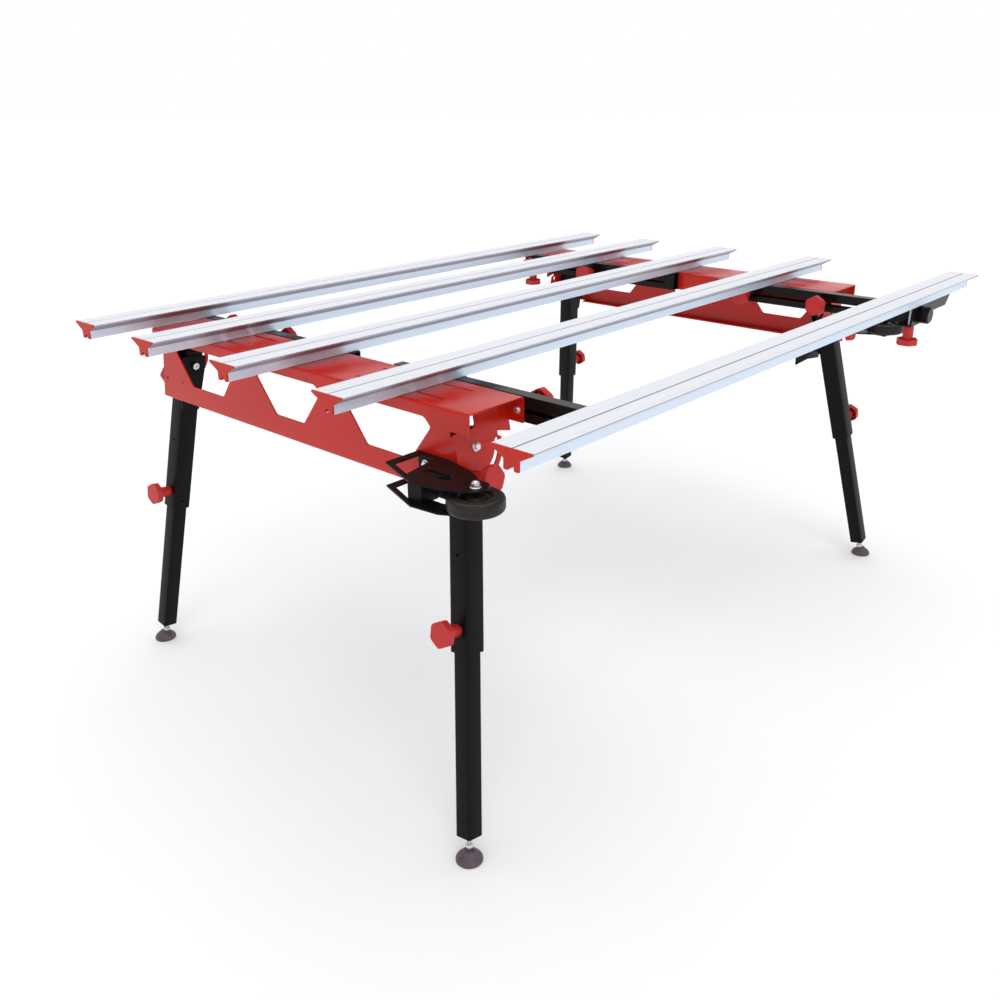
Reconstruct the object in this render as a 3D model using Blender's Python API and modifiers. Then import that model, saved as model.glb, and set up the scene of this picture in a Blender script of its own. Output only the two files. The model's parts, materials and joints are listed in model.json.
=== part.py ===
"""Large-format slab workbench: two folding trestles that carry five aluminium rails.

Metres, +Z up. X runs along the rails, Y along the trestles. The origin is on the floor,
under the middle of the whole bench.
"""

import math

import bmesh
import bpy
from mathutils import Matrix, Vector

OBJECT_NAME = "slab_workbench"
GAP = 0.0003

# Rails
RAIL_LENGTH = 1.800
RAIL_TOP_Z = 0.849
RAIL_WIDTH = 0.079
RAIL_HEIGHT = 0.0335
RAIL_LIP = 0.003
RAIL_FOOT_WIDTH = 0.029
RAIL_SHOULDER = 0.0165
RAIL_WALL = 0.0022
RAIL_SLOT = 0.010
GROOVE_WIDTH = 0.004
GROOVE_DEPTH = 0.0012
CAP_FLANGE = 0.003
CAP_PLUG = 0.018
# Rail centres, measured along Y from the middle of the trestles
RAIL_OFFSETS = {"rail_1": 0.508, "rail_2": 0.271, "rail_3": -0.010, "rail_4": -0.313, "rail_5": -0.717}

# Trestle beams, folded from sheet
SHEET = 0.003
BEAM_OUTER_X = 0.753
BEAM_WIDTH = 0.141
BEAM_TOP_Z = RAIL_TOP_Z - RAIL_HEIGHT - GAP
BEAM_BOTTOM_Z = 0.6585
BEAM_HALF = 0.4945
SKIRT_BOTTOM_Z = 0.7665
END_SKIRT_BOTTOM_Z = 0.7766
RELIEF_BOTTOM_Z = 0.7674
RELIEF_END = 0.450
FLANGE_WIDTH = 0.030
FLANGE_HALF = 0.400
WINDOW_BOTTOM_Z = 0.7035
WINDOW_SHOULDER_Z = 0.7745
WINDOW_TOP_Z = 0.7905
SIDE_WINDOW_Y = 0.2908
SIDE_WINDOW_HALVES = (0.0583, 0.1133, 0.0967)
MID_WINDOW_HALVES = (0.045, 0.1018, 0.088)
TOP_SLOT_X = (0.0385, 0.105)
TOP_SLOT_START = 0.170
TOP_SLOT_END = 0.405
TOP_SLOT_WIDTH = 0.008
TOP_HOLE_Y = (0.060, 0.0975)
TOP_HOLE_RADIUS = 0.003
BEND_STEP = 0.0003
END_PLATE_DROP = 0.006

# Legs
PIVOT_X = 0.7048
PIVOT_Y = 0.439
PIVOT_Z = 0.736
# Slopes of the legs, away from the vertical: along X each leg has its own, set by its lock knob
SPLAY_X = {"left_near": 0.203, "left_far": 0.125, "right_near": 0.215, "right_far": 0.215}
SPLAY_Y = 0.180
OUTER_TUBE = 0.045
OUTER_WALL = 0.0025
INNER_TUBE = 0.0355
INNER_WALL = 0.002
TUBE_CORNER = 0.003
OUTER_ABOVE_PIVOT = 0.034
OUTER_BELOW_PIVOT = 0.368
HEIGHT_KNOB_RISE = 0.043
INNER_TOP = 0.215
FOOT_STEM_TOP = 0.030
FOOT_RADIUS = 0.0255
FOOT_STEM_RADIUS = 0.005
FOOT_PAD_HEIGHT = 0.022
FOOT_NUT_RADIUS = 0.0085
FOOT_NUT = 0.006
FOOT_NUT_Z = 0.025
INNER_FLOOR_CLEARANCE = 0.047
PIVOT_BOLT_RADIUS = 0.005
PIVOT_HEAD_RADIUS = 0.0085
PIVOT_HEAD = 0.006
HINGE_PLATE_REACH = 0.039
HINGE_PLATE_DROP = 0.110
LOBE_RADIUS = 0.068
LOCK_RADIUS = 0.053
LOCK_SLOT_WIDTH = 0.010
LOCK_SLOT_END = -2.0

# Extension bars: slotted tubes that slide along the inner skirt
BAR_LENGTH = 0.560
BAR_HEIGHT = 0.0475
BAR_DEPTH = 0.025
BAR_WALL = 0.0025
BAR_SLOT = 0.0096
BAR_SLOT_MARGIN = 0.030
NEAR_SLOT_STOP = 0.085
FAR_SLOT_STOP = 0.035
BAR_CLEARANCE = 0.0006
NEAR_BAR_END = 0.7265
LEFT_NEAR_BAR_END = 0.718
FAR_BAR_END = 0.530
BAR_KNOB_Y = (-0.480, -0.265, 0.265, 0.480)
BAR_KNOB_Z = BEAM_TOP_Z - 0.0267
CLAMP_TAB_REACH = 0.038
CLAMP_TAB_BOLT = 0.020
CLAMP_TAB_INNER_END = 0.690
GRIP_RADIUS = 0.0205
GRIP_LENGTH = 0.0245
GRIP_CHAMFER = 0.003
WELD = 0.0005
REST_ARM_REACH = 0.792
REST_ARM_HEIGHT = 0.026

# Six-sided hand knobs
KNOB_RADIUS = 0.0265
KNOB_HEAD = 0.014
KNOB_STEM_RADIUS = 0.0125
KNOB_STEM = 0.031
STUD_RADIUS = 0.004
STUD_HOLE = 0.0048

# Wheels and their brackets
WHEEL_X = 0.814
WHEEL_Y = 0.566
WHEEL_Z = 0.699
WHEEL_RADIUS = 0.0485
WHEEL_WIDTH = 0.026
WHEEL_BORE = 0.0065
WHEEL_HUB = 0.016
WHEEL_RIM = 0.030
AXLE_RADIUS = 0.0055
AXLE_NUT_RADIUS = 0.0064
BRACKET_TOP_Z = 0.7255
BRACKET_LOW_Z = 0.683
BRACKET_SHEET = 0.003
HOOK_Y = 0.412
HOOK_LOW_Z = 0.607
HOOK_TOP_Z = 0.653

# The bench is centred on its own reach: the near rail's edge and the far feet
NEAR_REACH = RAIL_WIDTH / 2 - RAIL_OFFSETS["rail_5"]
FAR_REACH = PIVOT_Y + SPLAY_Y * PIVOT_Z + FOOT_RADIUS
MIDDLE_Y = (NEAR_REACH - FAR_REACH) / 2

RED = (0.52, 0.028, 0.018)
KNOB_RED = (0.60, 0.035, 0.035)
BLACK = (0.012, 0.011, 0.011)
ALUMINIUM = (0.80, 0.81, 0.84)
RUBBER = (0.02, 0.02, 0.022)
STEEL = (0.60, 0.60, 0.62)

parts = bpy.data.collections.new(OBJECT_NAME)
cutters = bpy.data.collections.new(OBJECT_NAME + "_cutters")


# ---------------------------------------------------------------- helpers

def material(name, colour, roughness, metallic):
    """A Principled material; one is made for each named piece."""
    made = bpy.data.materials.new(name)
    made.use_nodes = True
    shader = made.node_tree.nodes["Principled BSDF"]
    shader.inputs["Base Color"].default_value = (*colour, 1.0)
    shader.inputs["Roughness"].default_value = roughness
    shader.inputs["Metallic"].default_value = metallic
    return made


def add_part(name, mesh, look, parent=None):
    """Put a finished mesh in the bench's collection under its own material."""
    colour, roughness, metallic = look
    mesh.materials.clear()
    mesh.materials.append(material(name, colour, roughness, metallic))
    mesh.shade_smooth()
    mesh.set_sharp_from_angle(angle=math.radians(35))
    part = bpy.data.objects.new(name, mesh)
    parts.objects.link(part)
    if parent is not None:
        part.parent = parent
    return part


def pivot_empty(name, matrix):
    """An empty on a joint's axis, which carries the pieces that move with the joint."""
    empty = bpy.data.objects.new(name, None)
    parts.objects.link(empty)
    empty.matrix_world = matrix
    return empty


def mesh_from(obj):
    """The evaluated mesh of a scratch object, welded, in that object's own space."""
    graph = bpy.context.evaluated_depsgraph_get()
    mesh = bpy.data.meshes.new_from_object(obj.evaluated_get(graph))
    bpy.data.objects.remove(obj)
    work = bmesh.new()
    work.from_mesh(mesh)
    bmesh.ops.remove_doubles(work, verts=work.verts, dist=0.00002)
    work.to_mesh(mesh)
    work.free()
    return mesh


def plate(outline, thickness, holes=()):
    """A flat plate in the XY plane, centred on Z = 0, with any holes."""
    curve = bpy.data.curves.new("plate", "CURVE")
    curve.dimensions = "2D"
    curve.fill_mode = "BOTH"
    curve.extrude = thickness / 2
    for loop in (outline, *holes):
        spline = curve.splines.new("POLY")
        spline.points.add(len(loop) - 1)
        for point, (x, y) in zip(spline.points, loop):
            point.co = (x, y, 0.0, 1.0)
        spline.use_cyclic_u = True
    scratch = bpy.data.objects.new("plate", curve)
    bpy.context.scene.collection.objects.link(scratch)
    mesh = mesh_from(scratch)
    bpy.data.curves.remove(curve)
    return mesh


def turned(profile, segments=24):
    """A solid turned about Z from a profile of (radius, z), top to bottom, both ends closed."""
    base = bpy.data.meshes.new("profile")
    points = [(0.0, 0.0, profile[0][1])]
    points += [(radius, 0.0, z) for radius, z in profile]
    points += [(0.0, 0.0, profile[-1][1])]
    base.from_pydata(points, [(i, i + 1) for i in range(len(points) - 1)], [])
    return spin(base, segments)


def turned_ring(profile, segments=24):
    """A ring turned about Z from a closed loop of (radius, z) that runs down its outer side."""
    base = bpy.data.meshes.new("profile")
    points = [(radius, 0.0, z) for radius, z in profile]
    edges = [(i, (i + 1) % len(points)) for i in range(len(points))]
    base.from_pydata(points, edges, [])
    return spin(base, segments)


def spin(base, segments):
    """Turn an edge profile about Z with a Screw modifier."""
    scratch = bpy.data.objects.new("turned", base)
    bpy.context.scene.collection.objects.link(scratch)
    screw = scratch.modifiers.new("Screw", "SCREW")
    screw.axis = "Z"
    screw.steps = segments
    screw.render_steps = segments
    screw.use_merge_vertices = True
    screw.merge_threshold = 0.00002
    return mesh_from(scratch)


def prism(radius, low, high, sides, turn=0.0):
    """A regular prism about Z between two heights."""
    work = bmesh.new()
    place = Matrix.Translation((0, 0, (low + high) / 2)) @ Matrix.Rotation(turn, 4, "Z")
    bmesh.ops.create_cone(work, cap_ends=True, cap_tris=False, segments=sides, radius1=radius,
                          radius2=radius, depth=high - low, matrix=place)
    mesh = bpy.data.meshes.new("prism")
    work.to_mesh(mesh)
    work.free()
    return mesh


def box(low, high):
    """A box between two corners."""
    size = [b - a for a, b in zip(low, high)]
    centre = [(a + b) / 2 for a, b in zip(low, high)]
    work = bmesh.new()
    place = Matrix.Translation(centre) @ Matrix.Diagonal((*size, 1.0))
    bmesh.ops.create_cube(work, size=1.0, matrix=place)
    mesh = bpy.data.meshes.new("box")
    work.to_mesh(mesh)
    work.free()
    return mesh


def moved(mesh, matrix):
    """The same mesh after a transform, with its faces kept pointing outwards."""
    mesh.transform(matrix)
    if matrix.determinant() < 0:
        mesh.flip_normals()
    return mesh


def combined(mesh, others, operation):
    """One mesh after a run of exact Booleans."""
    for other in others:
        target = bpy.data.objects.new("target", mesh)
        tool = bpy.data.objects.new("tool", other)
        bpy.context.scene.collection.objects.link(target)
        cutters.objects.link(tool)
        tool.hide_render = True
        tool.display_type = "WIRE"
        step = target.modifiers.new("Boolean", "BOOLEAN")
        step.operation = operation
        step.solver = "EXACT"
        step.object = tool
        mesh = mesh_from(target)
        bpy.data.objects.remove(tool)
    return mesh


def union(mesh, *others):
    return combined(mesh, others, "UNION")


def cut(mesh, *others):
    return combined(mesh, others, "DIFFERENCE")


def mirrored_outline(half):
    """A closed outline from its +X half, listed from bottom to top."""
    return list(half) + [(-x, y) for x, y in reversed(half)]


def arc(centre, radius, start, end, steps):
    """Points on an arc between two angles in degrees."""
    angles = [math.radians(start + (end - start) * i / steps) for i in range(steps + 1)]
    return [(centre[0] + radius * math.cos(a), centre[1] + radius * math.sin(a)) for a in angles]


def rounded_square(side, corner, steps=1):
    """A square outline with rounded corners."""
    half = side / 2 - corner
    points = []
    for index, (sx, sy) in enumerate(((1, 1), (-1, 1), (-1, -1), (1, -1))):
        points += arc((sx * half, sy * half), corner, 90 * index, 90 * index + 90, steps)
    return points


def stadium(x_low, x_high, y_low, y_high, steps=4):
    """A slot outline with round ends, along its longer side."""
    radius = min(x_high - x_low, y_high - y_low) / 2
    if x_high - x_low > y_high - y_low:
        middle = (y_low + y_high) / 2
        return (arc((x_high - radius, middle), radius, -90, 90, steps)
                + arc((x_low + radius, middle), radius, 90, 270, steps))
    middle = (x_low + x_high) / 2
    return (arc((middle, y_high - radius), radius, 0, 180, steps)
            + arc((middle, y_low + radius), radius, 180, 360, steps))


def frame_matrix(x_axis, y_axis, z_axis, origin):
    """A transform whose columns are three axes and an origin."""
    return Matrix((
        (x_axis[0], y_axis[0], z_axis[0], origin[0]),
        (x_axis[1], y_axis[1], z_axis[1], origin[1]),
        (x_axis[2], y_axis[2], z_axis[2], origin[2]),
        (0.0, 0.0, 0.0, 1.0),
    ))


# Standing planes: a plate drawn in (a, b) lies in (Y, Z) or in (X, Z)
YZ_PLANE = frame_matrix((0, 1, 0), (0, 0, 1), (1, 0, 0), (0, 0, 0))


def at(x, y, z):
    """A point given from the middle of the trestles along Y."""
    return Vector((x, y + MIDDLE_Y, z))


# ---------------------------------------------------------------- rails

def rail_outline():
    """Half of the rail's outer section, bottom to top, with Z = 0 at the top face."""
    return [
        (RAIL_SLOT / 2, -RAIL_HEIGHT),
        (RAIL_FOOT_WIDTH / 2, -RAIL_HEIGHT),
        (RAIL_FOOT_WIDTH / 2, -RAIL_SHOULDER),
        (RAIL_WIDTH / 2, -RAIL_LIP),
        (RAIL_WIDTH / 2, 0.0),
        (GROOVE_WIDTH / 2, 0.0),
        (GROOVE_WIDTH / 4, -GROOVE_DEPTH),
    ]


def rail_cavity():
    """Half of the rail's hollow, from the slot in its foot up to the roof."""
    roof = -RAIL_WALL - GROOVE_DEPTH
    inner_foot = RAIL_FOOT_WIDTH / 2 - RAIL_WALL
    return [
        (RAIL_WIDTH / 2 - 0.012, roof),
        (inner_foot, -RAIL_SHOULDER - 0.0005),
        (inner_foot, -RAIL_HEIGHT + RAIL_WALL),
        (RAIL_SLOT / 2, -RAIL_HEIGHT + RAIL_WALL),
    ]


def rail_mesh():
    """The extruded rail: one section that opens through the slot in its foot."""
    outer = rail_outline()
    cavity = rail_cavity()
    left_outer = [(-x, y) for x, y in reversed(outer)]
    left_cavity = [(-x, y) for x, y in cavity]
    section = outer + left_outer + list(reversed(left_cavity)) + cavity
    length = RAIL_LENGTH - 2 * CAP_FLANGE - 2 * GAP
    return moved(plate(section, length), YZ_PLANE)


def cap_mesh(side):
    """A moulded end cap: a flange with the rail's outline and a plug that enters its hollow."""
    flange_half = [
        (RAIL_SLOT / 2, -RAIL_HEIGHT + 0.007),
        (RAIL_SLOT / 2 + 0.001, -RAIL_HEIGHT),
        (RAIL_FOOT_WIDTH / 2, -RAIL_HEIGHT),
        (RAIL_FOOT_WIDTH / 2, -RAIL_SHOULDER),
        (RAIL_WIDTH / 2, -RAIL_LIP),
        (RAIL_WIDTH / 2, 0.0),
    ]
    flange = plate(mirrored_outline(flange_half), CAP_FLANGE)
    reach = RAIL_FOOT_WIDTH / 2 - RAIL_WALL - 2 * GAP
    plug_half = [
        (reach, -RAIL_HEIGHT + RAIL_WALL + 2 * GAP),
        (reach, -RAIL_SHOULDER + GAP),
        (reach + 0.008, -RAIL_WALL - GROOVE_DEPTH - 0.006),
        (reach + 0.008, -RAIL_WALL - GROOVE_DEPTH - 2 * GAP),
    ]
    notch = [(RAIL_SLOT / 2, plug_half[0][1]), (RAIL_SLOT / 2, -RAIL_HEIGHT + 0.007)]
    plug_right = [notch[1], notch[0]] + plug_half
    plug = plate(mirrored_outline(plug_right), CAP_PLUG)
    plug = moved(plug, Matrix.Translation((0, 0, -(CAP_FLANGE + CAP_PLUG) / 2 + 0.0002)))
    cap = moved(union(flange, plug), YZ_PLANE)
    if side < 0:
        cap = moved(cap, Matrix.Scale(-1, 4, (1, 0, 0)))
    return moved(cap, Matrix.Translation((side * (RAIL_LENGTH - CAP_FLANGE) / 2, 0, 0)))


def build_rails(carriers):
    """Five rails and their end caps, each on the empty that carries it."""
    for name, offset in RAIL_OFFSETS.items():
        carrier = carriers.get(name)
        place = Matrix.Translation(at(0, offset, RAIL_TOP_Z))
        pieces = [(name, rail_mesh(), (ALUMINIUM, 0.34, 0.9))]
        for side, word in ((-1, "left"), (1, "right")):
            pieces.append((f"{name}_cap_{word}", cap_mesh(side), (RED, 0.45, 0.0)))
        for piece_name, mesh, look in pieces:
            add_part(piece_name, moved(mesh, place), look, carrier)


# ---------------------------------------------------------------- trestle beams

def window(middle, halves):
    """A cutter for a truss window: straight floor, leaning sides and cut upper corners."""
    floor, shoulder, top = halves
    half = [(floor, WINDOW_BOTTOM_Z), (shoulder, WINDOW_SHOULDER_Z), (top, WINDOW_TOP_Z)]
    outline = [(middle + y, z) for y, z in mirrored_outline(half)]
    return moved(plate(outline, SHEET * 4), YZ_PLANE)


def end_plane_y(z):
    """Distance along Y of the end plate's outer face, which leans with the leg."""
    return PIVOT_Y + (OUTER_TUBE / 2 + GAP + SHEET) * math.hypot(1, SPLAY_Y) + SPLAY_Y * (PIVOT_Z - z)


def fold_section():
    """The folded sheet in (X, Z): flange, tall outer plate, top and short inner skirt."""
    bend = SHEET + 0.002
    inside = 0.002
    outer = [(FLANGE_WIDTH, BEAM_BOTTOM_Z)]
    outer += arc((bend, BEAM_BOTTOM_Z + bend), bend, 270, 180, 2)
    outer += arc((bend, BEAM_TOP_Z - bend), bend, 180, 90, 2)
    outer += arc((BEAM_WIDTH - bend, BEAM_TOP_Z - bend), bend, 90, 0, 2)
    outer += [(BEAM_WIDTH, SKIRT_BOTTOM_Z), (BEAM_WIDTH - SHEET, SKIRT_BOTTOM_Z)]
    inner = arc((BEAM_WIDTH - bend, BEAM_TOP_Z - bend), inside, 0, 90, 1)
    inner += arc((bend, BEAM_TOP_Z - bend), inside, 90, 180, 1)
    inner += arc((bend, BEAM_BOTTOM_Z + bend), inside, 180, 270, 1)
    return outer + inner + [(FLANGE_WIDTH, BEAM_BOTTOM_Z + SHEET)]


def end_cutter(end):
    """What the ends of the outer plate lose: the leaning edge and the relief slot above it."""
    step = BEND_STEP * 2
    past = BEAM_HALF + 0.02
    outline = [
        (RELIEF_END, END_SKIRT_BOTTOM_Z),
        (RELIEF_END, RELIEF_BOTTOM_Z),
        (end_plane_y(RELIEF_BOTTOM_Z) - step, RELIEF_BOTTOM_Z),
        (end_plane_y(BEAM_BOTTOM_Z - 0.01) - step, BEAM_BOTTOM_Z - 0.01),
        (past, BEAM_BOTTOM_Z - 0.01),
        (past, END_SKIRT_BOTTOM_Z),
    ]
    cutter = moved(plate(outline, FLANGE_WIDTH * 4), YZ_PLANE)
    if end < 0:
        cutter = moved(cutter, Matrix.Scale(-1, 4, (0, 1, 0)))
    return cutter


def flange_cutter(end):
    """The bottom flange stops short of the legs."""
    low, high = sorted((end * FLANGE_HALF, end * (BEAM_HALF + 0.02)))
    inboard_of_bend = SHEET + 0.0021
    return box((inboard_of_bend, low, BEAM_BOTTOM_Z - 0.01),
               (FLANGE_WIDTH + 0.01, high, BEAM_BOTTOM_Z + 0.01))


def end_plate():
    """The leaning end plate, drawn from the leg pivot: +X inboard, +Y up the plate."""
    bend = -(BEAM_OUTER_X - PIVOT_X) + BEND_STEP
    slope = math.hypot(1, SPLAY_Y)
    bottom = -(PIVOT_Z - BEAM_BOTTOM_Z) * slope
    inner = BEAM_WIDTH + bend
    top = (BEAM_TOP_Z - PIVOT_Z) * slope - END_PLATE_DROP
    relief = (RELIEF_BOTTOM_Z - PIVOT_Z) * slope
    outline = [(bend, relief), (bend, bottom), (-0.022, bottom)]
    outline += arc((0, 0), LOBE_RADIUS, -96, -12, 8)
    outline += [
        (LOBE_RADIUS - 0.002, 0.002),
        (LOBE_RADIUS - 0.010, 0.006),
        (LOBE_RADIUS - 0.010, 0.014),
        (inner - 0.0015, 0.006),
        (inner - 0.0015, top),
        (0.011, top),
        (0.006, top - 0.012),
        (0.006, relief),
    ]
    pivot_hole = arc((0, 0), PIVOT_BOLT_RADIUS + 2 * GAP, 0, 330, 11)
    start = -90 - math.degrees(math.atan(max(SPLAY_X.values()) / slope))
    end = LOCK_SLOT_END
    half = LOCK_SLOT_WIDTH / 2
    first, last = (arc((0, 0), LOCK_RADIUS, angle, angle, 1)[0] for angle in (start, end))
    slot = arc((0, 0), LOCK_RADIUS + half, start, end, 7)
    slot += arc(last, half, end + 36, end + 144, 3)
    slot += arc((0, 0), LOCK_RADIUS - half, end, start, 7)
    slot += arc(first, half, start + 216, start + 324, 3)
    return plate(outline, SHEET, [pivot_hole, slot])


def top_cutters():
    """Two pairs of long slots through the top, and two small holes by each pair's middle."""
    cutters_made = []
    half = TOP_SLOT_WIDTH / 2
    through = Matrix.Translation((0, 0, BEAM_TOP_Z))
    for end in (-1, 1):
        low, high = sorted((end * TOP_SLOT_START, end * TOP_SLOT_END))
        for inset in TOP_SLOT_X:
            slot = plate(stadium(inset - half, inset + half, low, high, 2), SHEET * 4)
            cutters_made.append(moved(slot, through))
        for y in TOP_HOLE_Y:
            hole = prism(TOP_HOLE_RADIUS, -SHEET * 2, SHEET * 2, 6)
            cutters_made.append(moved(hole, Matrix.Translation((BEAM_WIDTH / 2, end * y, BEAM_TOP_Z))))
    return cutters_made


def skirt_cutters():
    """The holes in the inner skirt that the bar knobs' studs pass."""
    across = Matrix.Rotation(math.radians(90), 4, "Y")
    made = []
    for y in BAR_KNOB_Y:
        hole = prism(STUD_HOLE, -SHEET * 2, SHEET * 2, 8)
        place = Matrix.Translation((BEAM_WIDTH - SHEET / 2, y, BAR_KNOB_Z))
        made.append(moved(hole, place @ across))
    return made


def beam_mesh():
    """The left beam about the trestle's middle: X = 0 on its outer face, inboard is +X."""
    standing = frame_matrix((1, 0, 0), (0, 0, 1), (0, -1, 0), (0, 0, 0))
    beam = moved(plate(fold_section(), BEAM_HALF * 2), standing)
    cuts = [window(-SIDE_WINDOW_Y, SIDE_WINDOW_HALVES), window(0.0, MID_WINDOW_HALVES),
            window(SIDE_WINDOW_Y, SIDE_WINDOW_HALVES)]
    cuts += [end_cutter(end) for end in (-1, 1)]
    cuts += [flange_cutter(end) for end in (-1, 1)]
    beam = cut(beam, *cuts, *top_cutters(), *skirt_cutters())
    ends = []
    for end in (-1, 1):
        up = Vector((0, -end * SPLAY_Y, 1)).normalized()
        out = Vector((0, end, SPLAY_Y)).normalized()
        origin = Vector((BEAM_OUTER_X - PIVOT_X, end * PIVOT_Y, PIVOT_Z))
        origin += out * (OUTER_TUBE / 2 + GAP + SHEET / 2)
        ends.append(moved(end_plate(), frame_matrix((1, 0, 0), up, out, origin)))
    return union(beam, *ends)


def build_beams():
    """Both trestle beams; the right one mirrors the left one."""
    for side, word in ((-1, "left"), (1, "right")):
        mesh = beam_mesh()
        if side > 0:
            mesh = moved(mesh, Matrix.Scale(-1, 4, (1, 0, 0)))
        place = Matrix.Translation(at(side * BEAM_OUTER_X, 0, 0))
        add_part(f"{word}_beam", moved(mesh, place), (RED, 0.35, 0.0))


# ---------------------------------------------------------------- legs

def leg_frame(side, end, splay):
    """The leg's own frame at its pivot: +Y along the hinge, +Z up the tube, +X across it."""
    up = Vector((-side * splay, -end * SPLAY_Y, 1)).normalized()
    hinge = Vector((0, end, SPLAY_Y)).normalized()
    across = hinge.cross(up)
    return frame_matrix(across, hinge, up, at(side * PIVOT_X, end * PIVOT_Y, PIVOT_Z))


def tube(side, wall, corner, low, high):
    """A square tube along Z, open at both ends."""
    outline = rounded_square(side, corner)
    hole = rounded_square(side - 2 * wall, max(corner - wall, 0.0008))
    return moved(plate(outline, high - low, [hole]), Matrix.Translation((0, 0, (low + high) / 2)))


def bolt_bore(radius, low, high, axis_matrix):
    """A round cutter along an axis."""
    return moved(prism(radius, low, high, 12), axis_matrix)


def hinge_plate(outward):
    """The plate welded to the leg's inner face: wide at the hinge, down to the tube's width."""
    half = OUTER_TUBE / 2 - 0.001
    outline = [(outward * half, -HINGE_PLATE_DROP), (outward * HINGE_PLATE_REACH, -0.004),
               (outward * HINGE_PLATE_REACH, 0.012), (outward * (HINGE_PLATE_REACH - 0.008), 0.022),
               (-outward * (half + 0.006), 0.022), (-outward * (half + 0.006), -0.004),
               (-outward * half, -HINGE_PLATE_DROP)]
    standing = frame_matrix((1, 0, 0), (0, 0, 1), (0, -1, 0), (0, -(OUTER_TUBE + SHEET) / 2 + 0.0004, 0))
    return moved(plate(outline, SHEET), standing)


def outer_tube_mesh(outward):
    """The leg's upper tube, its welded hinge plate, and the bores for its bolt and height knob."""
    mesh = tube(OUTER_TUBE, OUTER_WALL, TUBE_CORNER, -OUTER_BELOW_PIVOT, OUTER_ABOVE_PIVOT)
    mesh = union(mesh, hinge_plate(outward))
    hinge_axis = Matrix.Rotation(math.radians(90), 4, "X")
    knob_axis = Matrix.Rotation(math.radians(90), 4, "Y")
    knob_z = -OUTER_BELOW_PIVOT + HEIGHT_KNOB_RISE
    pivot_bore = bolt_bore(PIVOT_BOLT_RADIUS + 2 * GAP, -0.03, 0.03, hinge_axis)
    low, high = sorted((outward * 0.010, outward * 0.030))
    knob_bore = moved(prism(STUD_HOLE, low, high, 12), Matrix.Translation((0, 0, knob_z)) @ knob_axis)
    return cut(mesh, pivot_bore, knob_bore)


def knob_mesh(stem, stud):
    """A hand knob along +Z: stud below zero, stem, then a hexagonal head."""
    head = prism(KNOB_RADIUS, stem, stem + KNOB_HEAD, 6)
    body = turned([
        (KNOB_STEM_RADIUS * 0.92, stem + KNOB_HEAD / 2),
        (KNOB_STEM_RADIUS, stem - 0.002),
        (KNOB_STEM_RADIUS * 0.96, 0.0),
        (STUD_RADIUS, -0.0),
        (STUD_RADIUS, -stud),
    ], 12)
    return union(head, body)


def pivot_bolt_mesh():
    """The hinge bolt along Z, centred on the leg: hexagon head outside, nut inside."""
    outer_face = OUTER_TUBE / 2 + GAP + SHEET + GAP
    inner_face = -OUTER_TUBE / 2 - SHEET - GAP
    shank = prism(PIVOT_BOLT_RADIUS, inner_face - 0.003, outer_face + 0.003, 12)
    washer = prism(PIVOT_HEAD_RADIUS + 0.002, outer_face, outer_face + 0.0015, 16)
    head = prism(PIVOT_HEAD_RADIUS, outer_face + 0.001, outer_face + 0.001 + PIVOT_HEAD, 6)
    nut = prism(PIVOT_HEAD_RADIUS, inner_face - PIVOT_HEAD, inner_face, 6)
    return union(shank, washer, head, nut)


def foot_mesh(frame):
    """A levelling foot in world axes: a level pad, and a stud up the leg's own axis."""
    down = -(frame.col[2].to_3d())
    pivot = frame.translation
    contact = pivot + down * (pivot.z / -down.z)
    pad = turned([
        (0.006, FOOT_PAD_HEIGHT),
        (0.010, FOOT_PAD_HEIGHT - 0.002),
        (0.017, FOOT_PAD_HEIGHT * 0.62),
        (FOOT_RADIUS - 0.001, FOOT_PAD_HEIGHT * 0.38),
        (FOOT_RADIUS, 0.004),
        (FOOT_RADIUS, 0.0),
    ], 16)
    pad = moved(pad, Matrix.Translation((contact.x, contact.y, 0)))
    along = frame.to_3x3().to_4x4()
    up_leg = Matrix.Translation(contact) @ along
    stud_top = INNER_FLOOR_CLEARANCE + FOOT_STEM_TOP
    stud = moved(prism(FOOT_STEM_RADIUS, FOOT_PAD_HEIGHT / 2, stud_top, 10), up_leg)
    nut = moved(prism(FOOT_NUT_RADIUS, FOOT_NUT_Z, FOOT_NUT_Z + FOOT_NUT, 6), up_leg)
    return union(pad, stud, nut)


def inner_tube_mesh(length_below):
    """The leg's lower tube with a threaded plate in its end that takes the levelling foot."""
    mesh = tube(INNER_TUBE, INNER_WALL, TUBE_CORNER - 0.0006, -length_below, -INNER_TOP)
    plug = plate(rounded_square(INNER_TUBE - INNER_WALL, 0.002), 0.008,
                 [arc((0, 0), FOOT_STEM_RADIUS + 2 * GAP, 0, 330, 11)])
    plug = moved(plug, Matrix.Translation((0, 0, -length_below + 0.005)))
    return union(mesh, plug)


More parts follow.
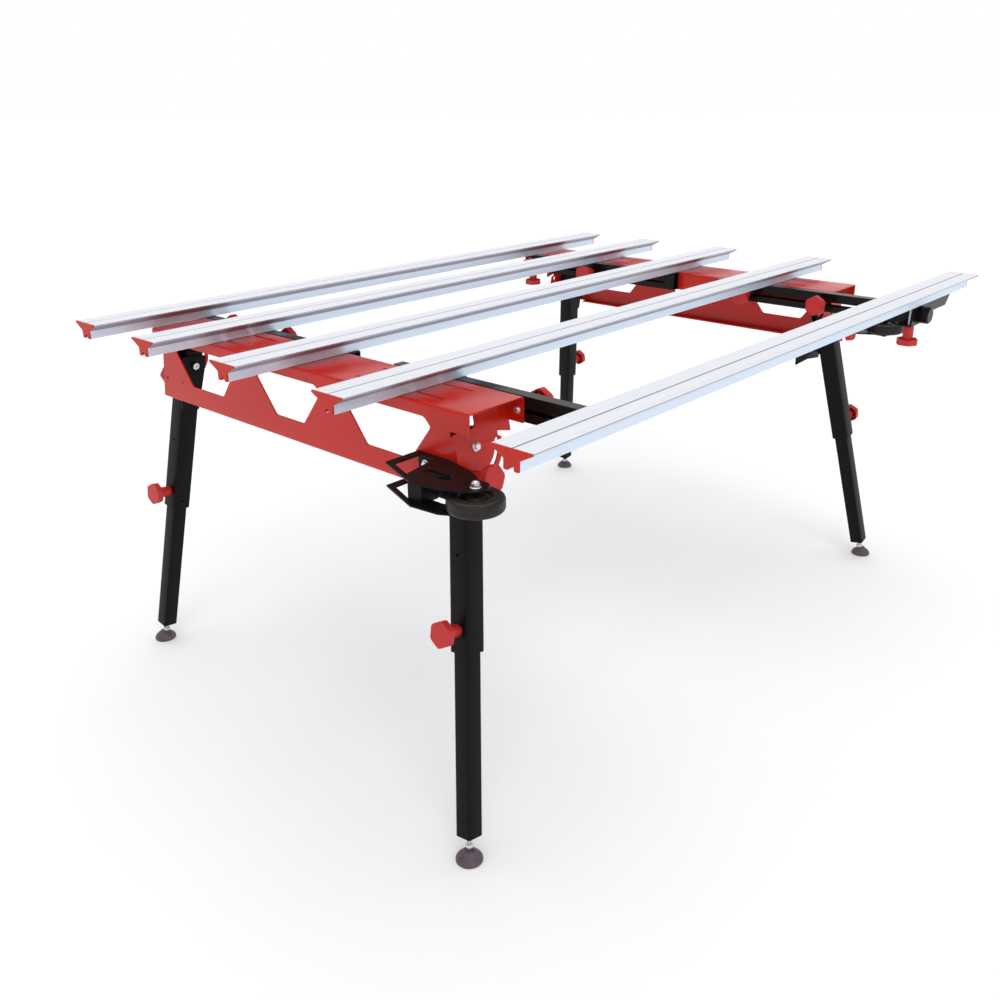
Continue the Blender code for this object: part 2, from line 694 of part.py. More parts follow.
def build_leg(side, end):
    """One folding leg with its hinge bolt, lock knob, height knob, lower tube and foot."""
    name = f"{'left' if side < 0 else 'right'}_{'near' if end < 0 else 'far'}"
    splay = SPLAY_X[name]
    frame = leg_frame(side, end, splay)
    axis_reach = PIVOT_Z * math.sqrt(1 + splay ** 2 + SPLAY_Y ** 2)
    fold = pivot_empty(f"{name}_fold_axis", frame)
    bpy.context.view_layer.update()

    across = frame.col[0].to_3d()
    outward = 1 if across.x * side > 0 else -1
    add_part(f"{name}_leg_outer", outer_tube_mesh(outward), (BLACK, 0.42, 0.2), fold)
    add_part(f"{name}_leg_inner", inner_tube_mesh(axis_reach - INNER_FLOOR_CLEARANCE),
             (BLACK, 0.38, 0.2), fold)
    add_part(f"{name}_foot", foot_mesh(frame), (RUBBER, 0.55, 0.0))

    # the hinge's +Y points out of the trestle, so Z of the bolt and lock knob is turned onto it
    onto_hinge = Matrix.Rotation(math.radians(-90), 4, "X")
    add_part(f"{name}_pivot_bolt", moved(pivot_bolt_mesh(), frame @ onto_hinge), (STEEL, 0.3, 1.0))
    lock_face = OUTER_TUBE / 2 + GAP + SHEET + GAP
    lock_place = frame @ Matrix.Translation((0, lock_face, -LOCK_RADIUS)) @ onto_hinge
    lock = knob_mesh(KNOB_STEM, SHEET)
    lock_axis = pivot_empty(f"{name}_lock_axis", lock_place)
    add_part(f"{name}_lock_knob", lock, (KNOB_RED, 0.4, 0.0), lock_axis)

    onto_across = Matrix.Rotation(math.radians(90 * outward), 4, "Y")
    knob_z = -OUTER_BELOW_PIVOT + HEIGHT_KNOB_RISE
    knob_place = Matrix.Translation((outward * (OUTER_TUBE / 2 + GAP), 0, knob_z))
    height_axis = pivot_empty(f"{name}_height_axis", frame @ knob_place @ onto_across)
    height = knob_mesh(KNOB_STEM, OUTER_WALL)
    add_part(f"{name}_height_knob", height, (KNOB_RED, 0.4, 0.0), height_axis)


# ---------------------------------------------------------------- extension bars

def bar_section():
    """The bar's tube in (X, Z): back face at X = 0, top at Z = 0, and its hollow."""
    wall = BAR_WALL
    outer = [(0, -BAR_HEIGHT), (BAR_DEPTH, -BAR_HEIGHT), (BAR_DEPTH, 0), (0, 0)]
    hollow = [(wall, -BAR_HEIGHT + wall), (BAR_DEPTH - wall, -BAR_HEIGHT + wall),
              (BAR_DEPTH - wall, -wall), (wall, -wall)]
    return outer, hollow


def clamp_bolt_inset(side, end):
    """How far inboard of the bar's back face an outer rail's clamp bolt stands."""
    if side > 0 and end < 0:
        return BAR_DEPTH + CLAMP_TAB_BOLT
    return BAR_DEPTH / 2


def mitre_cutter(outer_end):
    """What a mitred bar loses: a slope from just under its top to its bottom."""
    top = BEAM_TOP_Z - 0.004
    bottom = BEAM_TOP_Z - BAR_HEIGHT
    slope = [
        (-outer_end - 0.010, top),
        (-outer_end - 0.010, bottom - 0.010),
        (-outer_end + 0.080, bottom - 0.010),
        (-outer_end + 0.070, bottom + 0.002),
        (-outer_end + 0.004, top),
    ]
    return moved(plate(slope, BAR_DEPTH * 4), YZ_PLANE)


def bar_mesh(side, end, outer_end):
    """One bar about the trestle's middle: X = 0 on its back face, inboard is +X."""
    inner_end = outer_end - BAR_LENGTH
    standing = frame_matrix((1, 0, 0), (0, 0, 1), (0, -1, 0), (0, 0, 0))
    outer, hollow = bar_section()
    mesh = moved(plate(outer, BAR_LENGTH, [hollow]), standing)
    mesh = moved(mesh, Matrix.Translation((0, end * (inner_end + outer_end) / 2, BEAM_TOP_Z)))
    slot_stop = NEAR_SLOT_STOP if end < 0 else FAR_SLOT_STOP
    low, high = sorted((end * (inner_end + BAR_SLOT_MARGIN), end * (outer_end - slot_stop)))
    slot = stadium(low, high, BAR_KNOB_Z - BAR_SLOT / 2, BAR_KNOB_Z + BAR_SLOT / 2, 4)
    mesh = cut(mesh, moved(plate(slot, BAR_DEPTH * 4), YZ_PLANE))
    rail_y = RAIL_OFFSETS["rail_5"] if end < 0 else RAIL_OFFSETS["rail_1"]
    if side > 0 and end < 0:
        mesh = union(mesh, clamp_tab(), rest_arm(), end_grip())
    bolt_hole = prism(STUD_HOLE, BEAM_TOP_Z - BAR_HEIGHT - 0.01, BEAM_TOP_Z + 0.01, 12)
    mesh = cut(mesh, moved(bolt_hole, Matrix.Translation((clamp_bolt_inset(side, end), rail_y, 0))))
    if side < 0 and end < 0:
        mesh = cut(mesh, mitre_cutter(outer_end))
    return mesh


def clamp_tab():
    """The tab beside the right-hand near bar that the rail's clamp bolt passes."""
    bottom = BEAM_TOP_Z - BAR_HEIGHT + WELD
    return box((BAR_DEPTH - WELD, -NEAR_BAR_END - WELD, bottom),
               (BAR_DEPTH + CLAMP_TAB_REACH, -CLAMP_TAB_INNER_END, bottom + SHEET))


def rest_arm():
    """The plate on the bar's end, with a pointed arm outboard that the near rail rests on."""
    bottom = BEAM_TOP_Z - BAR_HEIGHT + 2 * WELD
    top = BEAM_TOP_Z - GAP
    arm_bottom = top - REST_ARM_HEIGHT
    inner = BAR_DEPTH + CLAMP_TAB_REACH - WELD
    tip = BEAM_OUTER_X - BEAM_WIDTH - BAR_CLEARANCE - REST_ARM_REACH
    outline = [
        (inner, bottom),
        (inner, top),
        (tip, top),
        (tip + REST_ARM_HEIGHT, arm_bottom),
        (WELD, arm_bottom),
        (WELD, bottom),
    ]
    middle = -NEAR_BAR_END - SHEET / 2 + 2 * WELD
    place = frame_matrix((1, 0, 0), (0, 0, 1), (0, -1, 0), (0, middle, 0))
    return moved(plate(outline, SHEET), place)


def end_grip():
    """The round grip on the end plate of the right-hand near bar."""
    grip = turned([
        (GRIP_RADIUS - GRIP_CHAMFER, GRIP_LENGTH),
        (GRIP_RADIUS, GRIP_LENGTH - GRIP_CHAMFER),
        (GRIP_RADIUS, GRIP_CHAMFER / 2),
        (GRIP_RADIUS - GRIP_CHAMFER / 2, 0.0),
    ])
    along_near = Matrix.Rotation(math.radians(90), 4, "X")
    centre = (BAR_DEPTH / 2, -NEAR_BAR_END - SHEET + 3 * WELD, BEAM_TOP_Z - BAR_HEIGHT / 2)
    return moved(grip, Matrix.Translation(centre) @ along_near)


def build_bars(carriers):
    """Four extension bars, each on the carriage that slides it."""
    back = BEAM_OUTER_X - BEAM_WIDTH - BAR_CLEARANCE
    outer_ends = {("left", "near"): LEFT_NEAR_BAR_END, ("right", "near"): NEAR_BAR_END,
                  ("left", "far"): FAR_BAR_END, ("right", "far"): FAR_BAR_END}
    for side, word in ((-1, "left"), (1, "right")):
        for end, end_word in ((-1, "near"), (1, "far")):
            mesh = bar_mesh(side, end, outer_ends[word, end_word])
            if side > 0:
                mesh = moved(mesh, Matrix.Scale(-1, 4, (1, 0, 0)))
            place = Matrix.Translation(at(side * back, 0, 0))
            add_part(f"{word}_{end_word}_bar", moved(mesh, place), (BLACK, 0.45, 0.2), carriers[end_word])


def build_bar_knobs():
    """Eight knobs whose studs pass the bars' slots and clamp them to the skirts."""
    face = BEAM_OUTER_X - BEAM_WIDTH - BAR_CLEARANCE - BAR_DEPTH - 2 * GAP
    for side, word in ((-1, "left"), (1, "right")):
        for index, y in enumerate(BAR_KNOB_Y, start=1):
            inboard = Matrix.Rotation(math.radians(-90 * side), 4, "Y")
            axis = pivot_empty(f"{word}_bar_knob_{index}_axis",
                               Matrix.Translation(at(side * face, y, BAR_KNOB_Z)) @ inboard)
            add_part(f"{word}_bar_knob_{index}", knob_mesh(KNOB_STEM, BAR_DEPTH + BAR_CLEARANCE + SHEET),
                     (KNOB_RED, 0.4, 0.0), axis)


def build_clamp_knobs(carriers):
    """The two down-pointing knobs that clamp the outer rails to the right-hand bars."""
    back = BEAM_OUTER_X - BEAM_WIDTH - BAR_CLEARANCE
    top = BEAM_TOP_Z - BAR_HEIGHT - 2 * GAP
    downward = Matrix.Rotation(math.radians(180), 4, "X")
    for end, end_word, rail in ((-1, "near", "rail_5"), (1, "far", "rail_1")):
        x = back - clamp_bolt_inset(1, end)
        place = Matrix.Translation(at(x, RAIL_OFFSETS[rail], top)) @ downward
        axis = pivot_empty(f"{end_word}_clamp_axis", place)
        axis.parent = carriers[end_word]
        axis.matrix_parent_inverse = carriers[end_word].matrix_world.inverted()
        knob = knob_mesh(KNOB_STEM, BAR_HEIGHT + 0.002)
        add_part(f"{end_word}_clamp_knob", knob, (KNOB_RED, 0.4, 0.0), axis)


# ---------------------------------------------------------------- wheels

def bracket_outline():
    """The bracket plate in (X, Y) for the left trestle: pointed at its back, round at the wheel."""
    outline = [(-0.7534, -0.372), (-0.7534, -0.452), (-0.768, -0.515)]
    outline += arc((-WHEEL_X + 0.002, -WHEEL_Y + 0.006), 0.026, 22, -150, 8)
    outline += [(-0.860, -0.523), (-0.866, -0.466), (-0.831, -0.371)]
    return outline


def bracket_mesh():
    """Two stacked plates joined by a box post and a wall against the beam, with the axle."""
    window_outline = [(-0.768, -0.388), (-0.768, -0.424), (-0.846, -0.440), (-0.826, -0.388)]
    slot = stadium(-0.826, -0.806, -0.512, -0.452, 4)
    plates = []
    for z in (BRACKET_TOP_Z - BRACKET_SHEET / 2, BRACKET_LOW_Z - BRACKET_SHEET / 2):
        mesh = plate(bracket_outline(), BRACKET_SHEET, [window_outline, slot])
        plates.append(moved(mesh, Matrix.Translation((0, 0, z))))
    low = BRACKET_LOW_Z - BRACKET_SHEET / 2
    high = BRACKET_TOP_Z - BRACKET_SHEET / 2
    wall = box((-0.7564, -0.450, low), (-0.7534, -0.374, high))
    post = box((-0.850, -0.478, low), (-0.812, -0.4455, high))
    axle = turned([
        (AXLE_NUT_RADIUS, BRACKET_TOP_Z + 0.007),
        (AXLE_NUT_RADIUS, BRACKET_TOP_Z - 0.001),
        (AXLE_RADIUS, BRACKET_TOP_Z - 0.001),
        (AXLE_RADIUS, BRACKET_LOW_Z - 0.001),
        (AXLE_NUT_RADIUS, BRACKET_LOW_Z - 0.001),
        (AXLE_NUT_RADIUS, BRACKET_LOW_Z - 0.009),
    ], 16)
    axle = moved(axle, Matrix.Translation((-WHEEL_X, -WHEEL_Y, 0)))
    return union(plates[0], plates[1], wall, post, axle)


def hook_plate():
    """The right-hand bracket reaches inboard under its beam, beside the leg, with a small shelf."""
    outline = [
        (0.618, HOOK_LOW_Z),
        (0.686, HOOK_LOW_Z + 0.003),
        (0.7559, HOOK_LOW_Z - 0.006),
        (0.7559, HOOK_TOP_Z),
        (0.640, HOOK_TOP_Z),
        (0.640, HOOK_TOP_Z - 0.020),
        (0.618, HOOK_TOP_Z - 0.020),
    ]
    standing = frame_matrix((1, 0, 0), (0, 0, 1), (0, -1, 0), (0, -HOOK_Y, 0))
    hanger = moved(plate(outline, BRACKET_SHEET), standing)
    shelf = box((0.6185, -HOOK_Y - WELD, HOOK_TOP_Z - 0.0235),
                (0.6500, -HOOK_Y + 0.020, HOOK_TOP_Z - 0.0205))
    riser = box((0.7536, -0.4495, HOOK_LOW_Z + 0.010), (0.7562, -HOOK_Y - 0.0005, BRACKET_LOW_Z))
    return union(hanger, shelf, riser)


def wheel_mesh():
    """A hard rubber tyre on a stepped hub, about Z."""
    half = WHEEL_WIDTH / 2
    upper = [(WHEEL_BORE, half - 0.001), (WHEEL_HUB, half - 0.001), (WHEEL_HUB + 0.003, half - 0.006),
             (WHEEL_RIM - 0.003, half - 0.006), (WHEEL_RIM, half), (WHEEL_RADIUS - 0.006, half),
             (WHEEL_RADIUS, half - 0.008)]
    lower = [(radius, -z) for radius, z in reversed(upper)]
    return turned_ring(upper + lower, 24)


def build_wheels():
    """A bracket and a flat-lying transport wheel on the near end of each trestle."""
    for side, word in ((-1, "left"), (1, "right")):
        mesh = bracket_mesh()
        if side > 0:
            mesh = moved(mesh, Matrix.Scale(-1, 4, (1, 0, 0)))
            mesh = union(mesh, hook_plate())
        mesh = moved(mesh, Matrix.Translation(at(0, 0, 0)))
        add_part(f"{word}_wheel_bracket", mesh, (BLACK, 0.45, 0.2))
        centre = Matrix.Translation(at(side * WHEEL_X, -WHEEL_Y, WHEEL_Z))
        axis = pivot_empty(f"{word}_wheel_axis", centre)
        add_part(f"{word}_wheel", wheel_mesh(), (RUBBER, 0.6, 0.0), axis)


# ---------------------------------------------------------------- the bench

def main():
    for old in list(bpy.data.objects):
        bpy.data.objects.remove(old)
    bpy.context.scene.collection.children.link(parts)
    bpy.context.scene.collection.children.link(cutters)

    carriages = ("near", "far", "rail_2", "rail_4")
    carriers = {name: pivot_empty(f"{name}_carriage", Matrix()) for name in carriages}
    carriers["rail_5"] = carriers["near"]
    carriers["rail_1"] = carriers["far"]
    build_beams()
    build_rails(carriers)
    build_bars(carriers)
    build_bar_knobs()
    build_clamp_knobs(carriers)
    for side in (-1, 1):
        for end in (-1, 1):
            build_leg(side, end)
    build_wheels()
    bpy.context.scene.collection.children.unlink(cutters)


main()
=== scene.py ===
"""Looks for the folding slab workbench: fine pieces, materials, camera, light and floor."""

import json
import math

import bmesh
import bpy
from mathutils import Matrix, Vector

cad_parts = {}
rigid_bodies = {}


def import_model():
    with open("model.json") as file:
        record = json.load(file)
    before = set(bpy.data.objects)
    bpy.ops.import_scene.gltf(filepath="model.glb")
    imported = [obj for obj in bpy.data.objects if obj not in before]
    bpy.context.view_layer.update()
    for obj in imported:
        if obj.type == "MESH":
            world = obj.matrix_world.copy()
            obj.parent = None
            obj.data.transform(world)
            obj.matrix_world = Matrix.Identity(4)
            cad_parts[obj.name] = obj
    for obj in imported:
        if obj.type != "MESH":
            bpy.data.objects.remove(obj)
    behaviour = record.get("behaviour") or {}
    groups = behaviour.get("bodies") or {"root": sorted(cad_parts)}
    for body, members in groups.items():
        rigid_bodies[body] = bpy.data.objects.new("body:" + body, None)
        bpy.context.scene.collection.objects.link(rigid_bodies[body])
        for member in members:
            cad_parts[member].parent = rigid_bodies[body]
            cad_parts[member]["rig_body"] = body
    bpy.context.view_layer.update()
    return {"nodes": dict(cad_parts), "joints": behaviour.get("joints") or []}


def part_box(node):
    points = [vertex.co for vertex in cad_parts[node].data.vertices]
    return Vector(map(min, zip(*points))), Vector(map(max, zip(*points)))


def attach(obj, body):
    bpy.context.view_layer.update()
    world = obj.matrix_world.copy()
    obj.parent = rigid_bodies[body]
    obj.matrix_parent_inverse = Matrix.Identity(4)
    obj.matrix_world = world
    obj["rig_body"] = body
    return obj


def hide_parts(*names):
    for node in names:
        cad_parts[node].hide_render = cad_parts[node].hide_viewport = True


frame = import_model()

SIDES = {"left": -1, "right": 1}
ENDS = {"near": -1, "far": 1}
JOINTS = {joint["name"]: joint for joint in frame["joints"]}

# ---------------------------------------------------------------- dimensions

GAP = 0.0003
SHEET = 0.003
SOFT_EDGE = 0.0005
FINE_EDGE = 0.0004
GRIP_EDGE = 0.0008

left_low, left_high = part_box("left_beam")
BEAM_OUTER = -left_low.x
BEAM_INNER = -left_high.x
BEAM_WIDTH = BEAM_OUTER - BEAM_INNER
BEAM_TOP = left_high.z
BEAM_BOTTOM = left_low.z
BEAM_MIDDLE = (left_low.y + left_high.y) / 2
BEAM_HALF = (left_high.y - left_low.y) / 2
RAIL_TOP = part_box("rail_1")[1].z
SKIRT_BOTTOM = BEAM_TOP - 0.0487
RELIEF_TOP = BEAM_TOP - 0.0386
RELIEF_BOTTOM = BEAM_TOP - 0.0478
RELIEF_END = BEAM_HALF - 0.0445
FLANGE_WIDTH = 0.030
FLANGE_HALF = 0.400
WINDOW_BOTTOM = BEAM_TOP - 0.1117
WINDOW_SHOULDER = BEAM_TOP - 0.0407
WINDOW_TOP = BEAM_TOP - 0.0247
SIDE_WINDOW_Y = 0.2908
SIDE_WINDOW = (0.0583, 0.1133, 0.0967)
MIDDLE_WINDOW = (0.045, 0.1018, 0.088)
TOP_SLOT_INSETS = (0.0385, 0.105)
TOP_SLOT_SPAN = (0.170, 0.405)
TOP_SLOT_WIDTH = 0.008
TOP_HOLE_Y = (0.060, 0.0975)

OUTER_TUBE = 0.045
INNER_TUBE = 0.0355
OUTER_ABOVE = 0.034
OUTER_BELOW = 0.368
HEIGHT_KNOB_RISE = 0.043
INNER_TOP = 0.215
FOOT_CLEARANCE = 0.047
LOCK_RADIUS = 0.053
LOBE_RADIUS = 0.068
PIVOT_HOLE = 0.0056
STUD_HOLE = 0.0048
SMALL_HOLE = 0.003

BAR_DEPTH = 0.025
BAR_HEIGHT = 0.0475

KNOB_RADIUS = 0.0265
KNOB_HEAD = 0.014
KNOB_STEM_RADIUS = 0.0125
KNOB_STEM = 0.031
STUD_RADIUS = 0.004

BRACKET_TOP = 0.7255
BRACKET_BOLT_Y = (-0.392, -0.432)
BRACKET_BOLT_Z = 0.7045
WHEEL_RADIUS = 0.0485
WHEEL_HALF = 0.013
WHEEL_SHOULDER = 0.007

CAMERA_PLACE = Vector((-1.867, -1.571 + BEAM_MIDDLE, 1.312))
CAMERA_AZIMUTH = 42.14
CAMERA_TILT = -22.72
CAMERA_ROLL = -0.47
CAMERA_LENS = 35.54
SKY = (0.28, 0.285, 0.30)


# ---------------------------------------------------------------- mesh helpers

def linked(name, data):
    """A new object in the scene."""
    made = bpy.data.objects.new(name, data)
    bpy.context.scene.collection.objects.link(made)
    return made


def mesh_from(obj):
    """The evaluated and welded mesh of a scratch object, which is removed."""
    graph = bpy.context.evaluated_depsgraph_get()
    mesh = bpy.data.meshes.new_from_object(obj.evaluated_get(graph))
    bpy.data.objects.remove(obj)
    work = bmesh.new()
    work.from_mesh(mesh)
    bmesh.ops.remove_doubles(work, verts=work.verts, dist=0.00001)
    work.to_mesh(mesh)
    work.free()
    return mesh


def plate(outline, thickness, holes=()):
    """A flat plate in the XY plane, centred on Z = 0, with any holes."""
    curve = bpy.data.curves.new("plate", "CURVE")
    curve.dimensions = "2D"
    curve.fill_mode = "BOTH"
    curve.extrude = thickness / 2
    for loop in (outline, *holes):
        spline = curve.splines.new("POLY")
        spline.points.add(len(loop) - 1)
        for point, (x, y) in zip(spline.points, loop):
            point.co = (x, y, 0.0, 1.0)
        spline.use_cyclic_u = True
    return mesh_from(linked("plate", curve))


def spin(points, edges, segments):
    """Turn an edge profile about Z."""
    base = bpy.data.meshes.new("profile")
    base.from_pydata(points, edges, [])
    scratch = linked("turned", base)
    screw = scratch.modifiers.new("Screw", "SCREW")
    screw.steps = segments
    screw.render_steps = segments
    screw.use_merge_vertices = True
    screw.merge_threshold = 0.00001
    return mesh_from(scratch)


def turned(profile, segments=48):
    """A solid turned about Z from (radius, z) points, top to bottom, both ends closed."""
    points = [(0.0, 0.0, profile[0][1])]
    points += [(radius, 0.0, z) for radius, z in profile]
    points += [(0.0, 0.0, profile[-1][1])]
    return spin(points, [(i, i + 1) for i in range(len(points) - 1)], segments)


def turned_ring(profile, segments=64):
    """A ring turned about Z from a closed loop of (radius, z) that runs down its outer side."""
    points = [(radius, 0.0, z) for radius, z in profile]
    return spin(points, [(i, (i + 1) % len(points)) for i in range(len(points))], segments)


def prism(radius, low, high, sides, turn=0.0):
    """A regular prism about Z between two heights."""
    work = bmesh.new()
    place = Matrix.Translation((0, 0, (low + high) / 2)) @ Matrix.Rotation(turn, 4, "Z")
    bmesh.ops.create_cone(work, cap_ends=True, cap_tris=False, segments=sides, radius1=radius,
                          radius2=radius, depth=high - low, matrix=place)
    mesh = bpy.data.meshes.new("prism")
    work.to_mesh(mesh)
    work.free()
    return mesh


def block(low, high):
    """A box between two corners."""
    size = [b - a for a, b in zip(low, high)]
    centre = [(a + b) / 2 for a, b in zip(low, high)]
    work = bmesh.new()
    place = Matrix.Translation(centre) @ Matrix.Diagonal((*size, 1.0))
    bmesh.ops.create_cube(work, size=1.0, matrix=place)
    mesh = bpy.data.meshes.new("block")
    work.to_mesh(mesh)
    work.free()
    return mesh


def moved(mesh, matrix):
    """The same mesh after a transform, with its faces kept pointing outwards."""
    mesh.transform(matrix)
    if matrix.determinant() < 0:
        mesh.flip_normals()
    return mesh


def shifted(mesh, x, y, z):
    """The same mesh after a move."""
    return moved(mesh, Matrix.Translation((x, y, z)))


def combined(mesh, others, operation):
    """One mesh after a run of exact Booleans."""
    for other in others:
        target = linked("target", mesh)
        tool = linked("tool", other)
        step = target.modifiers.new("Boolean", "BOOLEAN")
        step.operation = operation
        step.solver = "EXACT"
        step.object = tool
        mesh = mesh_from(target)
        bpy.data.objects.remove(tool)
    return mesh


def union(mesh, *others):
    """One mesh joined with others."""
    return combined(mesh, others, "UNION")


def cut(mesh, *others):
    """One mesh with others taken away."""
    return combined(mesh, others, "DIFFERENCE")


def merged(*meshes):
    """Several meshes in one, with no Boolean, for shapes that touch or sit in each other."""
    work = bmesh.new()
    for mesh in meshes:
        work.from_mesh(mesh)
    made = bpy.data.meshes.new("merged")
    work.to_mesh(made)
    work.free()
    return made


def mirrored(half):
    """A closed outline from its +X half, listed from bottom to top."""
    return list(half) + [(-x, y) for x, y in reversed(half)]


def arc(centre, radius, start, end, steps):
    """Points on an arc between two angles in degrees."""
    angles = [math.radians(start + (end - start) * i / steps) for i in range(steps + 1)]
    return [(centre[0] + radius * math.cos(a), centre[1] + radius * math.sin(a)) for a in angles]


def softened(outline, radius, steps=3):
    """An outline with each of its corners rounded."""
    points = []
    count = len(outline)
    for index, corner in enumerate(outline):
        here = Vector(corner)
        before = Vector(outline[index - 1]) - here
        after = Vector(outline[(index + 1) % count]) - here
        reach = min(radius, before.length * 0.45, after.length * 0.45)
        start = here + before.normalized() * reach
        end = here + after.normalized() * reach
        for step in range(steps + 1):
            t = step / steps
            point = start * (1 - t) ** 2 + here * 2 * t * (1 - t) + end * t ** 2
            points.append((point.x, point.y))
    return points


def rounded_square(side, corner, steps=4):
    """A square outline with rounded corners."""
    half = side / 2 - corner
    points = []
    for index, (sx, sy) in enumerate(((1, 1), (-1, 1), (-1, -1), (1, -1))):
        points += arc((sx * half, sy * half), corner, 90 * index, 90 * index + 90, steps)
    return points


def stadium(x_low, x_high, y_low, y_high, steps=8):
    """A slot outline with round ends, along its longer side."""
    radius = min(x_high - x_low, y_high - y_low) / 2
    if x_high - x_low > y_high - y_low:
        middle = (y_low + y_high) / 2
        return (arc((x_high - radius, middle), radius, -90, 90, steps)
                + arc((x_low + radius, middle), radius, 90, 270, steps))
    middle = (x_low + x_high) / 2
    return (arc((middle, y_high - radius), radius, 0, 180, steps)
            + arc((middle, y_low + radius), radius, 180, 360, steps))


def axes_matrix(x_axis, y_axis, z_axis, origin=(0, 0, 0)):
    """A transform whose columns are three axes and an origin."""
    columns = [Vector(axis) for axis in (x_axis, y_axis, z_axis)]
    rotation = Matrix(columns).transposed().to_4x4()
    return Matrix.Translation(Vector(origin)) @ rotation


YZ_PLANE = axes_matrix((0, 1, 0), (0, 0, 1), (1, 0, 0))
FLIP_X = Matrix.Scale(-1, 4, (1, 0, 0))
FLIP_Y = Matrix.Scale(-1, 4, (0, 1, 0))


def onto(axis):
    """A rotation that takes +Z onto an axis."""
    return Vector((0, 0, 1)).rotation_difference(Vector(axis).normalized()).to_matrix().to_4x4()


def joint_place(name):
    """A hinge's frame: its point, with +Z along its axis."""
    joint = JOINTS[name]
    return Matrix.Translation(Vector(joint["pos_m"])) @ onto(joint["axis"])


def body_of_node(node):
    """The CAD body that carries a node."""
    return frame["nodes"][node]["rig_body"]


def piece(name, mesh, look, nodes=(), body=None, edge=SOFT_EDGE, segments=2, angle=35):
    """A finished piece: softened edges, smooth shading, material, and the body that it rides on."""
    mesh.materials.clear()
    mesh.materials.append(look)
    mesh.shade_smooth()
    mesh.set_sharp_from_angle(angle=math.radians(angle))
    made = linked(name, mesh)
    if edge:
        bevel = made.modifiers.new("Bevel", "BEVEL")
        bevel.width = edge
        bevel.segments = segments
        bevel.limit_method = "ANGLE"
        bevel.angle_limit = math.radians(angle)
        bevel.harden_normals = True
    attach(made, body or body_of_node(nodes[0]))
    if nodes:
        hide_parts(*nodes)
    return made


# ---------------------------------------------------------------- materials

class Look:
    """A node material under construction."""

    def __init__(self, name):
        self.material = bpy.data.materials.new(name)
        self.material.use_nodes = True
        self.tree = self.material.node_tree
        self.shader = self.tree.nodes["Principled BSDF"]
        self.place = self.tree.nodes.new("ShaderNodeTexCoord").outputs["Object"]

    def set(self, **values):
        """Set uniform values on the shader's own sockets."""
        for name, value in values.items():
            self.shader.inputs[name.replace("_", " ")].default_value = value

    def stretched(self, scale):
        """The object's coordinates, scaled along each axis."""
        node = self.tree.nodes.new("ShaderNodeMapping")
        node.inputs["Scale"].default_value = scale
        self.tree.links.new(self.place, node.inputs["Vector"])
        return node.outputs["Vector"]

    def noise(self, scale, detail=3.0, roughness=0.5, vector=None):
        """Noise in metres."""
        node = self.tree.nodes.new("ShaderNodeTexNoise")
        node.inputs["Scale"].default_value = scale
        node.inputs["Detail"].default_value = detail
        node.inputs["Roughness"].default_value = roughness
        self.tree.links.new(vector or self.place, node.inputs["Vector"])
        return node.outputs["Fac"]

    def ramp(self, factor, stops):
        """A ramp over a factor, with (position, colour or grey) stops."""
        node = self.tree.nodes.new("ShaderNodeValToRGB")
        elements = node.color_ramp.elements
        while len(elements) < len(stops):
            elements.new(0.5)
        for element, (position, value) in zip(elements, stops):
            element.position = position
            colour = value if isinstance(value, tuple) else (value, value, value)
            element.color = (*colour, 1.0)
        self.tree.links.new(factor, node.inputs["Fac"])
        return node.outputs["Color"]

    def band(self, axis, low, high):
        """How far a point lies between two values along one of the object's axes, from 0 to 1."""
        parts = self.tree.nodes.new("ShaderNodeSeparateXYZ")
        self.tree.links.new(self.place, parts.inputs["Vector"])
        node = self.tree.nodes.new("ShaderNodeMapRange")
        node.inputs["From Min"].default_value = low
        node.inputs["From Max"].default_value = high
        self.tree.links.new(parts.outputs[axis], node.inputs["Value"])
        return node.outputs["Result"]

    def times(self, first, second):
        """Two colours multiplied."""
        node = self.tree.nodes.new("ShaderNodeMix")
        node.data_type = "RGBA"
        node.blend_type = "MULTIPLY"
        node.inputs["Factor"].default_value = 1.0
        colours = [socket for socket in node.inputs if socket.type == "RGBA"]
        self.tree.links.new(first, colours[0])
        self.tree.links.new(second, colours[1])
        return [socket for socket in node.outputs if socket.type == "RGBA"][0]

    def colour(self, socket):
        """Drive the base colour."""
        self.tree.links.new(socket, self.shader.inputs["Base Color"])

    def roughness(self, socket):
        """Drive the roughness."""
        self.tree.links.new(socket, self.shader.inputs["Roughness"])

    def bump(self, heights):
        """One or more (height, strength, distance) bumps in a chain."""
        previous = None
        for height, strength, distance in heights:
            node = self.tree.nodes.new("ShaderNodeBump")
            node.inputs["Strength"].default_value = strength
            node.inputs["Distance"].default_value = distance
            self.tree.links.new(height, node.inputs["Height"])
            if previous:
                self.tree.links.new(previous, node.inputs["Normal"])
            previous = node.outputs["Normal"]
        self.tree.links.new(previous, self.shader.inputs["Normal"])


def scaled(colour, factor):
    """A colour made lighter or darker."""
    return tuple(min(channel * factor, 1.0) for channel in colour)


def clouded(colour, spread):
    """Two ramp stops, a little darker and a little lighter than a colour."""
    return [(0.3, scaled(colour, 1 - spread)), (0.7, scaled(colour, 1 + spread))]


def coated_steel(name, colour, base_roughness, gloss, peel, spread=0.05):
    """Powder-coated steel: orange peel, faint clouding and a soft gloss."""
    look = Look(name)
    clouds = look.noise(9.0, 4.0)
    dust = look.noise(260.0, 2.0)
    look.colour(look.ramp(clouds, clouded(colour, spread)))
    look.roughness(look.ramp(dust, [(0.2, base_roughness - 0.02), (0.8, base_roughness + 0.02)]))
    look.bump([(look.noise(700.0, 2.0), peel, 0.0001)])
    look.set(Specular_IOR_Level=gloss)
    return look.material


